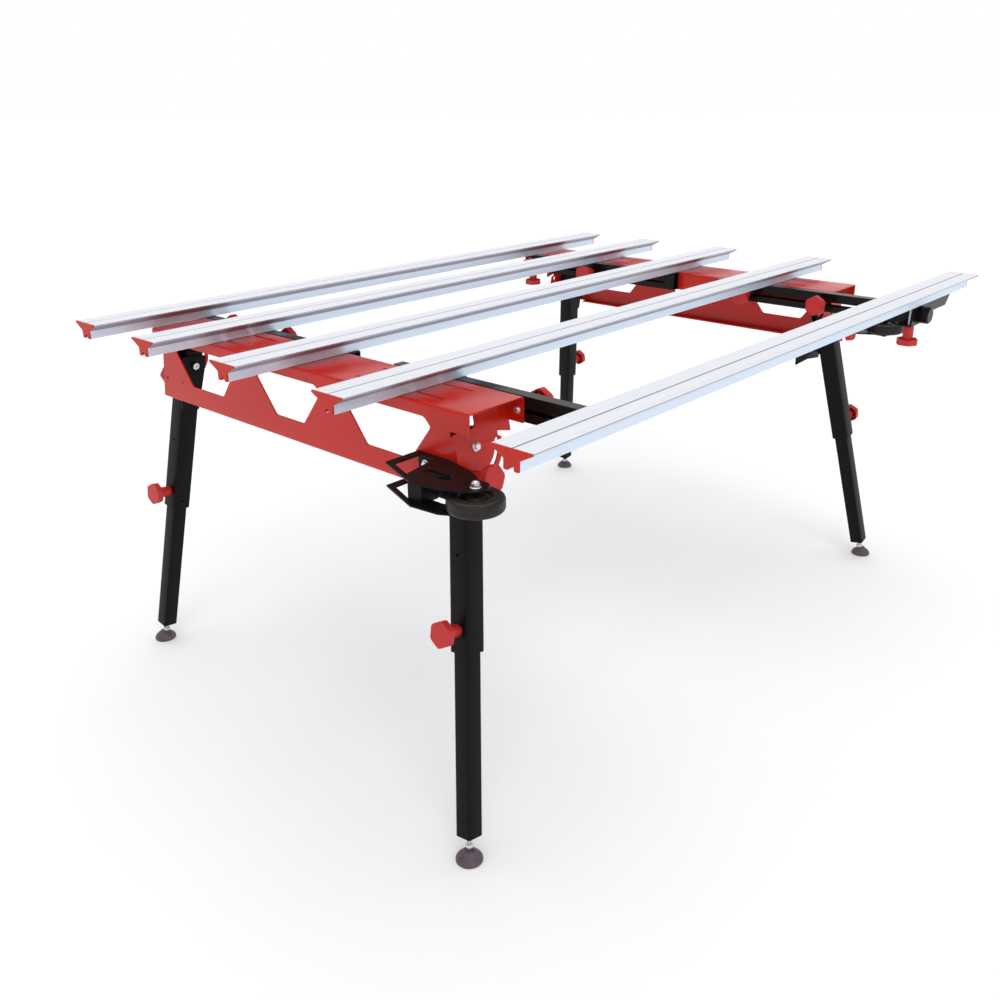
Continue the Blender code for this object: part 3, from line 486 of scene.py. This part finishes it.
def moulded_plastic(name, colour, base_roughness):
    """Moulded plastic: faint mottling and a fine spark-eroded grain."""
    look = Look(name)
    look.colour(look.ramp(look.noise(30.0, 3.0), clouded(colour, 0.05)))
    grain = [(0.3, base_roughness - 0.04), (0.7, base_roughness + 0.05)]
    look.roughness(look.ramp(look.noise(400.0, 2.0), grain))
    look.bump([(look.noise(1400.0, 1.5), 0.12, 0.0002)])
    look.set(Specular_IOR_Level=0.30)
    return look.material


def extruded_aluminium(name):
    """Anodised extrusion: fine die lines along X, a soft satin sheen, and painted light and shade by
    height.
    """
    look = Look(name)
    lines = look.noise(1.0, 3.0, 0.6, look.stretched((1.5, 1400.0, 1400.0)))
    bands = look.noise(1.0, 2.0, 0.5, look.stretched((0.8, 160.0, 160.0)))
    base = look.ramp(bands, [(0.3, (0.82, 0.84, 0.89)), (0.7, (0.88, 0.895, 0.935))])
    # Painted light and shade across the profile: a pale blue painted light on the web, painted shade
    # in the undercut and the top groove, a bluish painted light on the lip, and no tint on the top.
    web_painted_blue_light = (0.82, 0.92, 1.0)
    undercut_painted_shade = (0.35, 0.32, 0.37)
    lip = (0.92, 0.95, 1.0)
    groove_painted_shade = (0.26, 0.24, 0.27)
    top = (1.0, 1.0, 1.0)
    # Height across the rail's top 20 mm, which places the painted light and shade.
    depth = look.band("Z", RAIL_TOP - 0.020, RAIL_TOP)
    look.colour(look.times(base, look.ramp(depth, [
        (0.165, web_painted_blue_light), (0.185, undercut_painted_shade), (0.840, undercut_painted_shade), (0.860, lip),
        (0.915, lip), (0.935, groove_painted_shade), (0.965, groove_painted_shade), (0.985, top),
    ])))
    look.roughness(look.ramp(lines, [(0.3, 0.42), (0.7, 0.52)]))
    look.bump([(lines, 0.10, 0.0001)])
    look.set(Metallic=0.60, Specular_IOR_Level=0.3)
    return look.material


def rubber(name, colour, base_roughness):
    """Solid rubber: matt, with a dusty mottling."""
    look = Look(name)
    dust = [(0.3, scaled(colour, 0.8)), (0.7, scaled(colour, 1.3))]
    look.colour(look.ramp(look.noise(120.0, 4.0), dust))
    wear = [(0.3, base_roughness - 0.08), (0.7, base_roughness + 0.08)]
    look.roughness(look.ramp(look.noise(300.0, 3.0), wear))
    look.bump([(look.noise(900.0, 3.0), 0.25, 0.0003)])
    look.set(Specular_IOR_Level=0.25)
    return look.material


def zinc(name):
    """Bright zinc plate: a metal with cloudy passivation."""
    look = Look(name)
    passivation = [(0.3, (0.62, 0.62, 0.64)), (0.7, (0.76, 0.76, 0.76))]
    look.colour(look.ramp(look.noise(90.0, 3.0), passivation))
    look.roughness(look.ramp(look.noise(500.0, 3.0), [(0.3, 0.20), (0.7, 0.34)]))
    look.bump([(look.noise(1500.0, 2.0), 0.08, 0.0002)])
    look.set(Metallic=1.0)
    return look.material


BEAM_RED = coated_steel("beam_red_coat", (0.48, 0.011, 0.004), 0.25, 0.32, peel=0.04)
CAP_RED = moulded_plastic("cap_red_plastic", (0.48, 0.012, 0.004), 0.42)
KNOB_RED = moulded_plastic("knob_red_plastic", (0.47, 0.020, 0.017), 0.38)
BLACK_COAT = coated_steel(
    "black_coat", (0.0058, 0.0048, 0.0044), 0.34, 0.09, peel=0.20, spread=0.12)
BAR_BLACK = coated_steel(
    "bar_black_coat", (0.0055, 0.0045, 0.0042), 0.22, 0.14, peel=0.12, spread=0.10)
ALUMINIUM_WITH_PAINTED_SHADE = extruded_aluminium("rail_aluminium_painted_shade")
TYRE_RUBBER = rubber("tyre_rubber", (0.014, 0.0105, 0.009), 0.45)
FOOT_RUBBER = rubber("foot_rubber", (0.090, 0.066, 0.080), 0.50)
ZINC = zinc("bright_zinc")


# ---------------------------------------------------------------- rails and caps

def rail_section(width, height):
    """The rail's outer half section, bottom to top, Z = 0 at the top face, with soft corners."""
    foot = 0.0145
    slot = 0.005
    shoulder = 0.0165
    lip = 0.003
    top_round = arc((width / 2 - 0.0012, -0.0012), 0.0012, -20, 90, 4)
    groove = [(0.0020, 0.0), (0.0014, -0.0010), (0.0006, -0.0012)]
    return [
        (slot, -height), (foot - 0.0006, -height), (foot, -height + 0.0006),
        (foot, -shoulder - 0.0012), (foot + 0.0008, -shoulder + 0.0004),
        (width / 2 - 0.0012, -lip),
    ] + top_round + groove


def rail_hollow(height):
    """Half of the rail's hollow, from its roof down to the slot in its foot."""
    wall = 0.0022
    inside = 0.0123
    return [(0.0275, -wall - 0.0012), (inside, -0.0170), (inside, -height + wall),
            (0.005, -height + wall)]


def build_rail(number):
    """One extruded rail in place of its CAD node."""
    node = f"rail_{number}"
    low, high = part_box(node)
    width = high.y - low.y
    height = high.z - low.z
    outer = rail_section(width, height)
    hollow = rail_hollow(height)
    section = mirrored(outer) + [(-x, z) for x, z in reversed(hollow)] + hollow
    mesh = moved(plate(section, high.x - low.x), YZ_PLANE)
    shifted(mesh, (low.x + high.x) / 2, (low.y + high.y) / 2, high.z)
    piece(f"{node}_extrusion", mesh, ALUMINIUM_WITH_PAINTED_SHADE, [node], edge=0)


def build_cap(number, side_word):
    """One moulded end cap: a rounded flange with a slot between two feet, and its plug."""
    node = f"rail_{number}_cap_{side_word}"
    side = SIDES[side_word]
    low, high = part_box(node)
    width = high.y - low.y
    height = high.z - low.z
    thickness = 0.003
    half = [(0.0046, -height + 0.0075), (0.0058, -height), (0.0145, -height), (0.0145, -0.0168),
            (width / 2, -0.0032), (width / 2, 0.0)]
    flange = plate(softened(mirrored(half), 0.0011, 3), thickness)
    plug_half = [(0.0052, -height + 0.0075), (0.0052, -height + 0.0032), (0.0114, -height + 0.0032),
                 (0.0114, -0.0174), (0.0192, -0.0102), (0.0192, -0.0042)]
    plug = shifted(plate(mirrored(plug_half), 0.0178), 0, 0, -thickness / 2 - 0.0088)
    mesh = moved(merged(flange, plug), YZ_PLANE)
    if side < 0:
        moved(mesh, FLIP_X)
    outer_x = high.x if side > 0 else low.x
    shifted(mesh, outer_x - side * thickness / 2, (low.y + high.y) / 2, high.z)
    piece(f"{node}_moulding", mesh, CAP_RED, [node], edge=0.0006, segments=3)


# ---------------------------------------------------------------- beams

def window_cutter(middle, halves):
    """A truss window with small corner radii."""
    floor, shoulder, top = halves
    half = [(floor, WINDOW_BOTTOM), (shoulder, WINDOW_SHOULDER), (top, WINDOW_TOP)]
    outline = [(middle + y, z) for y, z in softened(mirrored(half), 0.006, 4)]
    return moved(plate(outline, SHEET * 4), YZ_PLANE)


def pivot_point(side_word, end_word):
    """A leg's pivot, from its fold joint."""
    return Vector(JOINTS[f"{side_word}_{end_word}_leg_fold"]["pos_m"])


PIVOT = pivot_point("left", "near")
PIVOT_INSET = BEAM_OUTER + PIVOT.x
PIVOT_REACH = BEAM_MIDDLE - PIVOT.y


def leg_up(side_word, end_word):
    """The way a leg's tube points, from its telescoping joint."""
    return Vector(JOINTS[f"{side_word}_{end_word}_leg_height"]["axis"]).normalized()


def leg_lean(side_word, end_word):
    """How far a leg leans across its hinge from the end plate's upright, in degrees."""
    up = leg_up(side_word, end_word)
    return math.degrees(math.atan(abs(up.x / up.z) / math.hypot(1, SPLAY_Y)))


HINGE_AXIS = Vector(JOINTS["left_near_leg_fold"]["axis"])
SPLAY_Y = abs(HINGE_AXIS.z / HINGE_AXIS.y)
LARGEST_LEAN = max(leg_lean(side_word, end_word) for side_word in SIDES for end_word in ENDS)


def end_plane(z):
    """Distance along Y of the end plate's outer face, which leans with the leg."""
    plate_face = (OUTER_TUBE / 2 + GAP + SHEET) * math.hypot(1, SPLAY_Y)
    return PIVOT_REACH + plate_face + SPLAY_Y * (PIVOT.z - z)


def fold_section():
    """The folded sheet in (X, Z): flange, tall outer plate, top and short inner skirt."""
    bend = SHEET + 0.002
    inside = 0.002
    steps = 6
    outer = [(FLANGE_WIDTH, BEAM_BOTTOM)]
    outer += arc((bend, BEAM_BOTTOM + bend), bend, 270, 180, steps)
    outer += arc((bend, BEAM_TOP - bend), bend, 180, 90, steps)
    outer += arc((BEAM_WIDTH - bend, BEAM_TOP - bend), bend, 90, 0, steps)
    outer += [(BEAM_WIDTH, SKIRT_BOTTOM), (BEAM_WIDTH - SHEET, SKIRT_BOTTOM)]
    inner = arc((BEAM_WIDTH - bend, BEAM_TOP - bend), inside, 0, 90, steps)
    inner += arc((bend, BEAM_TOP - bend), inside, 90, 180, steps)
    inner += arc((bend, BEAM_BOTTOM + bend), inside, 180, 270, steps)
    return outer + inner + [(FLANGE_WIDTH, BEAM_BOTTOM + SHEET)]


def end_cutter(end):
    """What the ends of the outer plate lose: the leaning edge and the relief slot above it."""
    past = BEAM_HALF + 0.02
    below = BEAM_BOTTOM - 0.01
    inset = 0.0006
    outline = [
        (RELIEF_END, RELIEF_TOP), (RELIEF_END, RELIEF_BOTTOM),
        (end_plane(RELIEF_BOTTOM) - inset, RELIEF_BOTTOM), (end_plane(below) - inset, below),
        (past, below), (past, RELIEF_TOP),
    ]
    cutter = moved(plate(outline, FLANGE_WIDTH * 4), YZ_PLANE)
    return moved(cutter, FLIP_Y) if end < 0 else cutter


def flange_cutter(end):
    """The bottom flange stops short of the legs."""
    low, high = sorted((end * FLANGE_HALF, end * (BEAM_HALF + 0.02)))
    bend_end = SHEET + 0.0021
    return block((bend_end, low, BEAM_BOTTOM - 0.01), (FLANGE_WIDTH + 0.01, high, BEAM_BOTTOM + 0.01))


def end_plate():
    """The leaning end plate, drawn from the leg pivot: +X inboard, +Y up the plate."""
    bend = -PIVOT_INSET + GAP
    slope = math.hypot(1, SPLAY_Y)
    bottom = -(PIVOT.z - BEAM_BOTTOM) * slope
    inner = BEAM_WIDTH + bend
    top = (BEAM_TOP - PIVOT.z) * slope - 0.006
    relief = (RELIEF_BOTTOM - PIVOT.z) * slope
    outline = [(bend, relief), (bend, bottom), (-0.022, bottom)]
    outline += arc((0, 0), LOBE_RADIUS, -96, -12, 20)
    outline += [
        (LOBE_RADIUS - 0.002, 0.002), (LOBE_RADIUS - 0.010, 0.006), (LOBE_RADIUS - 0.010, 0.014),
        (inner - 0.0015, 0.006), (inner - 0.0015, top), (0.011, top), (0.009, top - 0.004),
        (0.006, top - 0.014), (0.006, relief + 0.008), (0.003, relief + 0.002), (-0.002, relief),
    ]
    pivot_hole = arc((0, 0), PIVOT_HOLE, 0, 345, 23)
    start = -90 - LARGEST_LEAN
    end = -2.0
    half = 0.005
    first = arc((0, 0), LOCK_RADIUS, start, start, 1)[0]
    last = arc((0, 0), LOCK_RADIUS, end, end, 1)[0]
    slot = arc((0, 0), LOCK_RADIUS + half, start, end, 24)
    slot += arc(last, half, end + 20, end + 160, 7)
    slot += arc((0, 0), LOCK_RADIUS - half, end, start, 24)
    slot += arc(first, half, start + 200, start + 340, 7)
    return plate(outline, SHEET, [pivot_hole, slot])


def top_cutters():
    """Two pairs of long slots through the top, and small round holes between them."""
    half = TOP_SLOT_WIDTH / 2
    made = []
    for end in (-1, 1):
        low, high = sorted((end * TOP_SLOT_SPAN[0], end * TOP_SLOT_SPAN[1]))
        for inset in TOP_SLOT_INSETS:
            slot = plate(stadium(inset - half, inset + half, low, high, 6), SHEET * 4)
            made.append(shifted(slot, 0, 0, BEAM_TOP))
        for y in TOP_HOLE_Y:
            hole = prism(SMALL_HOLE, -SHEET * 2, SHEET * 2, 20)
            made.append(shifted(hole, BEAM_WIDTH / 2, end * y, BEAM_TOP))
    return made


def side_holes():
    """Small punched holes in the outer plate."""
    across = Matrix.Rotation(math.radians(90), 4, "Y")
    made = []
    for y in (0.4545, 0.393, -0.393):
        hole = moved(prism(SMALL_HOLE, -SHEET * 2, SHEET * 2, 20), across)
        made.append(shifted(hole, SHEET / 2, y, 0.706))
    return made


def knob_spots():
    """Where the bar knobs' studs stand: along Y from the beam's middle, and their height."""
    spots = [Vector(JOINTS[f"left_bar_knob_{index}_turn"]["pos_m"]) for index in (1, 2, 3, 4)]
    return [(spot.y - BEAM_MIDDLE, spot.z) for spot in spots]


def skirt_holes():
    """The holes in the inner skirt that the bar knobs' studs pass."""
    across = Matrix.Rotation(math.radians(90), 4, "Y")
    return [shifted(moved(prism(STUD_HOLE, -SHEET * 2, SHEET * 2, 24), across),
                    BEAM_WIDTH - SHEET / 2, y, z)
            for y, z in knob_spots()]


def beam_mesh():
    """The left beam about the trestle's middle: X = 0 on its outer face, inboard is +X."""
    standing = axes_matrix((1, 0, 0), (0, 0, 1), (0, -1, 0))
    beam = moved(plate(fold_section(), BEAM_HALF * 2), standing)
    cuts = [window_cutter(-SIDE_WINDOW_Y, SIDE_WINDOW), window_cutter(0.0, MIDDLE_WINDOW),
            window_cutter(SIDE_WINDOW_Y, SIDE_WINDOW)]
    cuts += [end_cutter(end) for end in (-1, 1)] + [flange_cutter(end) for end in (-1, 1)]
    beam = cut(beam, *cuts, *top_cutters(), *skirt_holes(), *side_holes())
    ends = []
    for end in (-1, 1):
        up = Vector((0, -end * SPLAY_Y, 1)).normalized()
        out = Vector((0, end, SPLAY_Y)).normalized()
        pivot = Vector((PIVOT_INSET, end * PIVOT_REACH, PIVOT.z))
        origin = pivot + out * (OUTER_TUBE / 2 + GAP + SHEET / 2)
        ends.append(moved(end_plate(), axes_matrix((1, 0, 0), up, out, origin)))
    return union(beam, *ends)


def fastener(radius, head, axis, place, washer=0.001):
    """A hexagon head on a washer, seated at a point and standing along an axis."""
    hexagon = prism(radius, washer, washer + head, 6)
    ring = [(radius * 1.25, washer), (radius * 1.35, washer * 0.7), (radius * 1.35, 0.0)]
    return moved(merged(hexagon, turned(ring, 32)), Matrix.Translation(Vector(place)) @ onto(axis))


def build_beam(side_word):
    """A trestle beam in place of its CAD node, and its small fasteners."""
    side = SIDES[side_word]
    node = f"{side_word}_beam"
    mesh = beam_mesh()
    if side > 0:
        moved(mesh, FLIP_X)
    shifted(mesh, side * BEAM_OUTER, BEAM_MIDDLE, 0)
    piece(f"{node}_sheet", mesh, BEAM_RED, [node], angle=40)
    for index, (y, z) in enumerate(knob_spots(), start=1):
        seat = (side * (BEAM_INNER + SHEET), BEAM_MIDDLE + y, z)
        bolt = fastener(0.0058, 0.0035, (side, 0, 0), seat)
        piece(f"{side_word}_beam_bolt_{index}", bolt, ZINC, body="frame",
              edge=FINE_EDGE)


# ---------------------------------------------------------------- legs

def leg_matrix(side_word, end_word):
    """The leg's frame at its pivot: +Y along the hinge, +Z up the tube, +X across it."""
    up = leg_up(side_word, end_word)
    hinge = Vector((0, ENDS[end_word], SPLAY_Y)).normalized()
    return axes_matrix(hinge.cross(up), hinge, up, pivot_point(side_word, end_word))


def tube(side, wall, corner, low, high):
    """A square tube along Z, open at both ends."""
    hole = rounded_square(side - 2 * wall, corner - wall * 0.8)
    return shifted(plate(rounded_square(side, corner), high - low, [hole]), 0, 0, (low + high) / 2)


def hinge_plate(outward):
    """The plate welded to the leg's inner face: wide at the hinge, down to the tube's width."""
    half = OUTER_TUBE / 2 - 0.001
    reach = 0.039
    outline = [(outward * half, -0.110), (outward * reach, -0.004), (outward * reach, 0.012),
               (outward * (reach - 0.008), 0.022), (-outward * (half + 0.006), 0.022),
               (-outward * (half + 0.006), -0.004), (-outward * half, -0.110)]
    inner_face = (0, -(OUTER_TUBE + SHEET) / 2 + 0.0004, 0)
    standing = axes_matrix((1, 0, 0), (0, 0, 1), (0, -1, 0), inner_face)
    return moved(plate(softened(outline, 0.005, 4), SHEET), standing)


def build_leg(side_word, end_word):
    """One leg: tubes, hinge bolt, foot and its two hand knobs."""
    name = f"{side_word}_{end_word}"
    place = leg_matrix(side_word, end_word)
    side = SIDES[side_word]
    outward = 1 if place.col[0].x * side > 0 else -1
    along_y = Matrix.Rotation(math.radians(90), 4, "X")
    along_x = Matrix.Rotation(math.radians(90), 4, "Y")

    outer = tube(OUTER_TUBE, 0.0025, 0.006, -OUTER_BELOW, OUTER_ABOVE)
    holes = [moved(prism(PIVOT_HOLE, -0.04, 0.04, 24), along_y)]
    low, high = sorted((outward * 0.010, outward * 0.030))
    knob_hole = moved(prism(STUD_HOLE, low, high, 24), along_x)
    holes.append(shifted(knob_hole, 0, 0, -OUTER_BELOW + HEIGHT_KNOB_RISE))
    holes.append(shifted(moved(prism(SMALL_HOLE, low, high, 20), along_x), 0, 0, -0.190))
    near_face = moved(prism(SMALL_HOLE, 0.010, 0.030, 20), along_y)
    holes.append(shifted(near_face, 0, 0, -OUTER_BELOW + 0.020))
    outer = union(cut(outer, *holes), hinge_plate(outward))
    piece(f"{name}_leg_outer_tube", moved(outer, place), BLACK_COAT, [f"{name}_leg_outer"],
          edge=FINE_EDGE)

    foot_reach = PIVOT.z / place.col[2].z
    inner = tube(INNER_TUBE, 0.002, 0.0042, -foot_reach + FOOT_CLEARANCE, -INNER_TOP)
    bore = arc((0, 0), PIVOT_HOLE, 0, 345, 23)
    plug = plate(rounded_square(INNER_TUBE - 0.0038, 0.003), 0.010, [bore])
    plug = shifted(plug, 0, 0, -foot_reach + FOOT_CLEARANCE + 0.0045)
    inner = moved(merged(inner, plug), place)
    piece(f"{name}_leg_inner_tube", inner, BLACK_COAT, [f"{name}_leg_inner"],
          edge=FINE_EDGE)

    build_foot(name, place, foot_reach)
    build_pivot_bolt(name, place)
    build_knob(f"{name}_lock_knob", SHEET)
    build_knob(f"{name}_height_knob", 0.0025)


def threaded(radius, low, high, pitch):
    """A stud with ring grooves that read as a thread."""
    count = int((high - low) / pitch)
    profile = []
    for index in range(count):
        top = high - index * pitch
        profile += [(radius * 0.86, top), (radius, top - pitch * 0.3), (radius, top - pitch * 0.55)]
    profile.append((radius * 0.86, high - count * pitch))
    return turned(profile, 24)


def build_foot(name, place, reach):
    """A levelling foot: ribbed rubber dome, threaded stud and lock nut."""
    contact = place @ Vector((0, 0, -reach))
    dome = turned([
        (0.0065, 0.0220), (0.0095, 0.0214), (0.0105, 0.0200), (0.0125, 0.0178), (0.0165, 0.0150),
        (0.0205, 0.0116), (0.0238, 0.0078), (0.0245, 0.0062), (0.0251, 0.0056), (0.0255, 0.0042),
        (0.0255, 0.0010), (0.0247, 0.0),
    ], 64)
    shifted(dome, contact.x, contact.y, 0)
    up_leg = Matrix.Translation(contact) @ place.to_3x3().to_4x4()
    stud = moved(threaded(0.005, 0.011, FOOT_CLEARANCE + 0.030, 0.0015), up_leg)
    nut = moved(prism(0.0085, 0.025, 0.031, 6), up_leg)
    piece(f"{name}_foot_pad", dome, FOOT_RUBBER, [f"{name}_foot"], edge=0)
    body = body_of_node(f"{name}_foot")
    piece(f"{name}_foot_stud", stud, ZINC, body=body, edge=0)
    piece(f"{name}_foot_nut", nut, ZINC, body=body, edge=0.0006)


def build_pivot_bolt(name, place):
    """The leg's hinge bolt: hexagon head and washer outside, nut inside."""
    face = OUTER_TUBE / 2 + GAP + SHEET + GAP
    inner_face = -OUTER_TUBE / 2 - SHEET - GAP
    shank = prism(0.005, inner_face - 0.006, face + 0.003, 24)
    washer = turned([(0.0080, face + 0.0013), (0.0088, face + 0.0009), (0.0088, face)], 40)
    head = prism(0.0068, face + 0.0011, face + 0.0060, 6)
    crown = turned([(0.0046, face + 0.0067), (0.0053, face + 0.0060), (0.0053, face + 0.0050)], 32)
    nut = prism(0.0085, inner_face - 0.006, inner_face, 6)
    onto_hinge = Matrix.Rotation(math.radians(-90), 4, "X")
    mesh = moved(merged(shank, washer, head, crown, nut), place @ onto_hinge)
    piece(f"{name}_pivot_bolt_zinc", mesh, ZINC, [f"{name}_pivot_bolt"],
          edge=FINE_EDGE)


# ---------------------------------------------------------------- knobs

def knob_mesh(stem, stud):
    """A hand knob along +Z: stud below zero, stem, then a six-sided head that is hollow behind."""
    corner = 0.006
    face = 0.0030
    turns = [math.radians(60 * i) for i in range(6)]
    rim = [(KNOB_RADIUS * math.cos(a), KNOB_RADIUS * math.sin(a)) for a in turns]
    head = shifted(plate(softened(rim, corner, 5), KNOB_HEAD), 0, 0, stem + KNOB_HEAD / 2)
    pocket_rim = [(x * 0.86, y * 0.86) for x, y in rim]
    pocket = plate(softened(pocket_rim, corner * 0.8, 4), KNOB_HEAD)
    head = cut(head, shifted(pocket, 0, 0, stem + KNOB_HEAD / 2 - face))
    column = turned([
        (0.0085, stem + KNOB_HEAD - 0.002), (KNOB_STEM_RADIUS, stem + KNOB_HEAD - 0.0025),
        (KNOB_STEM_RADIUS * 0.98, stem * 0.55), (KNOB_STEM_RADIUS * 0.92, 0.0012),
        (KNOB_STEM_RADIUS * 0.86, 0.0),
    ], 40)
    ribs = [moved(block((KNOB_STEM_RADIUS - 0.002, -0.0009, stem - 0.0002),
                        (KNOB_RADIUS * 0.83, 0.0009, stem + KNOB_HEAD - face)),
                  Matrix.Rotation(a, 4, "Z")) for a in turns]
    point = 0.0006
    pin = turned([(STUD_RADIUS, 0.001), (STUD_RADIUS, -stud + point),
                  (STUD_RADIUS - point, -stud)], 24)
    return merged(head, column, pin, *ribs)


def build_knob(node, stud):
    """A hand knob in place of its CAD node, on its turning joint."""
    mesh = moved(knob_mesh(KNOB_STEM, stud), joint_place(f"{node}_turn"))
    piece(f"{node}_grip", mesh, KNOB_RED, [node], edge=GRIP_EDGE, segments=3)


def build_bar_knobs(side_word):
    """Four knobs that clamp the bars to the skirt."""
    for index in (1, 2, 3, 4):
        build_knob(f"{side_word}_bar_knob_{index}", BAR_DEPTH + 0.0036)


def build_clamp_knobs():
    """The two down-pointing knobs that hold the outer rails on the right-hand bars."""
    for end_word in ENDS:
        node = f"{end_word}_clamp_knob"
        build_knob(node, 0.001)
        stud = threaded(STUD_RADIUS, -BAR_HEIGHT - 0.0018, 0.0, 0.0014)
        stud = moved(stud, joint_place(f"{node}_turn"))
        piece(f"{node}_stud", stud, ZINC, body=body_of_node(node), edge=0)


# ---------------------------------------------------------------- kept CAD solids

def keep_solid(node, look):
    """A CAD solid that stays: it takes a material and softened edges."""
    shown = frame["nodes"][node]
    for slot in shown.material_slots:
        slot.material = look
    bevel = shown.modifiers.new("Bevel", "BEVEL")
    bevel.width = SOFT_EDGE
    bevel.segments = 2
    bevel.limit_method = "ANGLE"
    bevel.angle_limit = math.radians(40)


# ---------------------------------------------------------------- wheels

def wheel_mesh():
    """A tyre with concentric ridges on its faces and a stepped hub."""
    half = WHEEL_HALF
    face = [
        (0.0065, half - 0.001), (0.0155, half - 0.001), (0.0165, half - 0.002),
        (0.0175, half - 0.0055), (0.0265, half - 0.0055), (0.0280, half - 0.0012), (0.0290, half),
    ]
    for radius in (0.0318, 0.0352, 0.0386):
        face += [(radius - 0.0009, half), (radius - 0.0004, half - 0.0009),
                 (radius + 0.0004, half - 0.0009), (radius + 0.0009, half)]
    tread = (WHEEL_RADIUS - WHEEL_SHOULDER, half - WHEEL_SHOULDER)
    face += [(tread[0], half)]
    face += [(min(tread[0] + WHEEL_SHOULDER * math.sin(math.radians(a)), WHEEL_RADIUS),
              tread[1] + WHEEL_SHOULDER * math.cos(math.radians(a))) for a in (20, 40, 60, 80, 90)]
    lower = [(radius, -z) for radius, z in reversed(face)]
    return turned_ring(face + lower, 96)


def build_wheel(side_word):
    """A wheel, its axle nut and washer, and the bracket with its fasteners."""
    side = SIDES[side_word]
    node = f"{side_word}_wheel"
    centre = Vector(JOINTS[f"{side_word}_wheel_spin"]["pos_m"])
    tyre = shifted(wheel_mesh(), *centre)
    piece(f"{node}_tyre", tyre, TYRE_RUBBER, [node], edge=0)

    keep_solid(f"{side_word}_wheel_bracket", BLACK_COAT)
    top = BRACKET_TOP
    washer = turned([(0.0090, top + 0.0012), (0.0098, top + 0.0007), (0.0098, top)], 40)
    nut = prism(0.0080, top + 0.0011, top + 0.0066, 6)
    crown = turned([
        (0.0022, top + 0.0110), (0.0044, top + 0.0103), (0.0058, top + 0.0088), (0.0063, top + 0.0066),
    ], 32)
    axle = shifted(merged(washer, nut, crown), centre.x, centre.y, 0)
    piece(f"{side_word}_axle_nut", axle, ZINC, body="frame", edge=FINE_EDGE)
    for index, y in enumerate(BRACKET_BOLT_Y, start=1):
        seat = (side * (BEAM_OUTER + 0.0036), BEAM_MIDDLE + y, BRACKET_BOLT_Z)
        bolt = fastener(0.0065, 0.004, (side, 0, 0), seat)
        piece(f"{side_word}_bracket_bolt_{index}", bolt, ZINC, body="frame",
              edge=FINE_EDGE)


# ---------------------------------------------------------------- studio

def build_camera():
    """A camera on the near left, a little above the rails."""
    data = bpy.data.cameras.new("camera")
    data.lens = CAMERA_LENS
    data.sensor_width = 36.0
    data.clip_end = 50.0
    camera = linked("camera", data)
    azimuth = math.radians(CAMERA_AZIMUTH)
    tilt = math.radians(CAMERA_TILT)
    level = math.cos(tilt)
    forward = Vector((level * math.cos(azimuth), level * math.sin(azimuth), math.sin(tilt)))
    look = forward.to_track_quat("-Z", "Y").to_matrix().to_4x4()
    roll = Matrix.Rotation(math.radians(CAMERA_ROLL), 4, "Z")
    camera.matrix_world = Matrix.Translation(CAMERA_PLACE) @ look @ roll
    bpy.context.scene.camera = camera


def soft_light(name, direction, strength, spread):
    """A wide, even light that shines along a direction."""
    data = bpy.data.lights.new(name, "SUN")
    data.energy = strength
    data.angle = math.radians(spread)
    lamp = linked(name, data)
    lamp.rotation_euler = Vector(direction).to_track_quat("-Z", "Y").to_euler()


def build_floor():
    """A plain white floor that runs well past the view."""
    reach = 60
    corners = [(-reach, -reach), (reach, -reach), (reach, reach), (-reach, reach)]
    floor = linked("floor", plate(corners, 0.002))
    floor.location.z = -0.0012
    look = Look("floor_white")
    paper = [(0.3, (0.90, 0.90, 0.905)), (0.7, (0.92, 0.92, 0.92))]
    look.colour(look.ramp(look.noise(0.6, 2.0), paper))
    look.set(Roughness=0.9, Specular_IOR_Level=0.1)
    floor.data.materials.append(look.material)


def build_surround():
    """A studio surround: white along the horizon and dimmer overhead."""
    world = bpy.data.worlds.new("studio")
    world.use_nodes = True
    tree = world.node_tree
    place = tree.nodes.new("ShaderNodeTexCoord")
    parts = tree.nodes.new("ShaderNodeSeparateXYZ")
    ramp = tree.nodes.new("ShaderNodeValToRGB")
    tree.links.new(place.outputs["Generated"], parts.inputs["Vector"])
    tree.links.new(parts.outputs["Z"], ramp.inputs["Fac"])
    elements = ramp.color_ramp.elements
    elements[0].position = 0.32
    elements[0].color = (1.0, 1.0, 1.0, 1.0)
    elements[1].position = 0.48
    elements[1].color = (*SKY, 1.0)
    tree.links.new(ramp.outputs["Color"], tree.nodes["Background"].inputs["Color"])
    bpy.context.scene.world = world


def build_studio():
    """Floor, surround and two soft lights."""
    build_floor()
    build_surround()
    soft_light("overhead", (-0.10, -0.10, -1.0), 1.9, 70)
    soft_light("key", (0.50, 0.60, -0.62), 0.9, 40)
    bpy.context.scene.view_settings.view_transform = "Standard"


# ---------------------------------------------------------------- everything

def main():
    """Every piece, then the studio."""
    for number in (1, 2, 3, 4, 5):
        build_rail(number)
        for side_word in SIDES:
            build_cap(number, side_word)
    for side_word in SIDES:
        build_beam(side_word)
        build_bar_knobs(side_word)
        build_wheel(side_word)
        for end_word in ENDS:
            build_leg(side_word, end_word)
            keep_solid(f"{side_word}_{end_word}_bar", BAR_BLACK)
    build_clamp_knobs()
    build_camera()
    build_studio()


main()
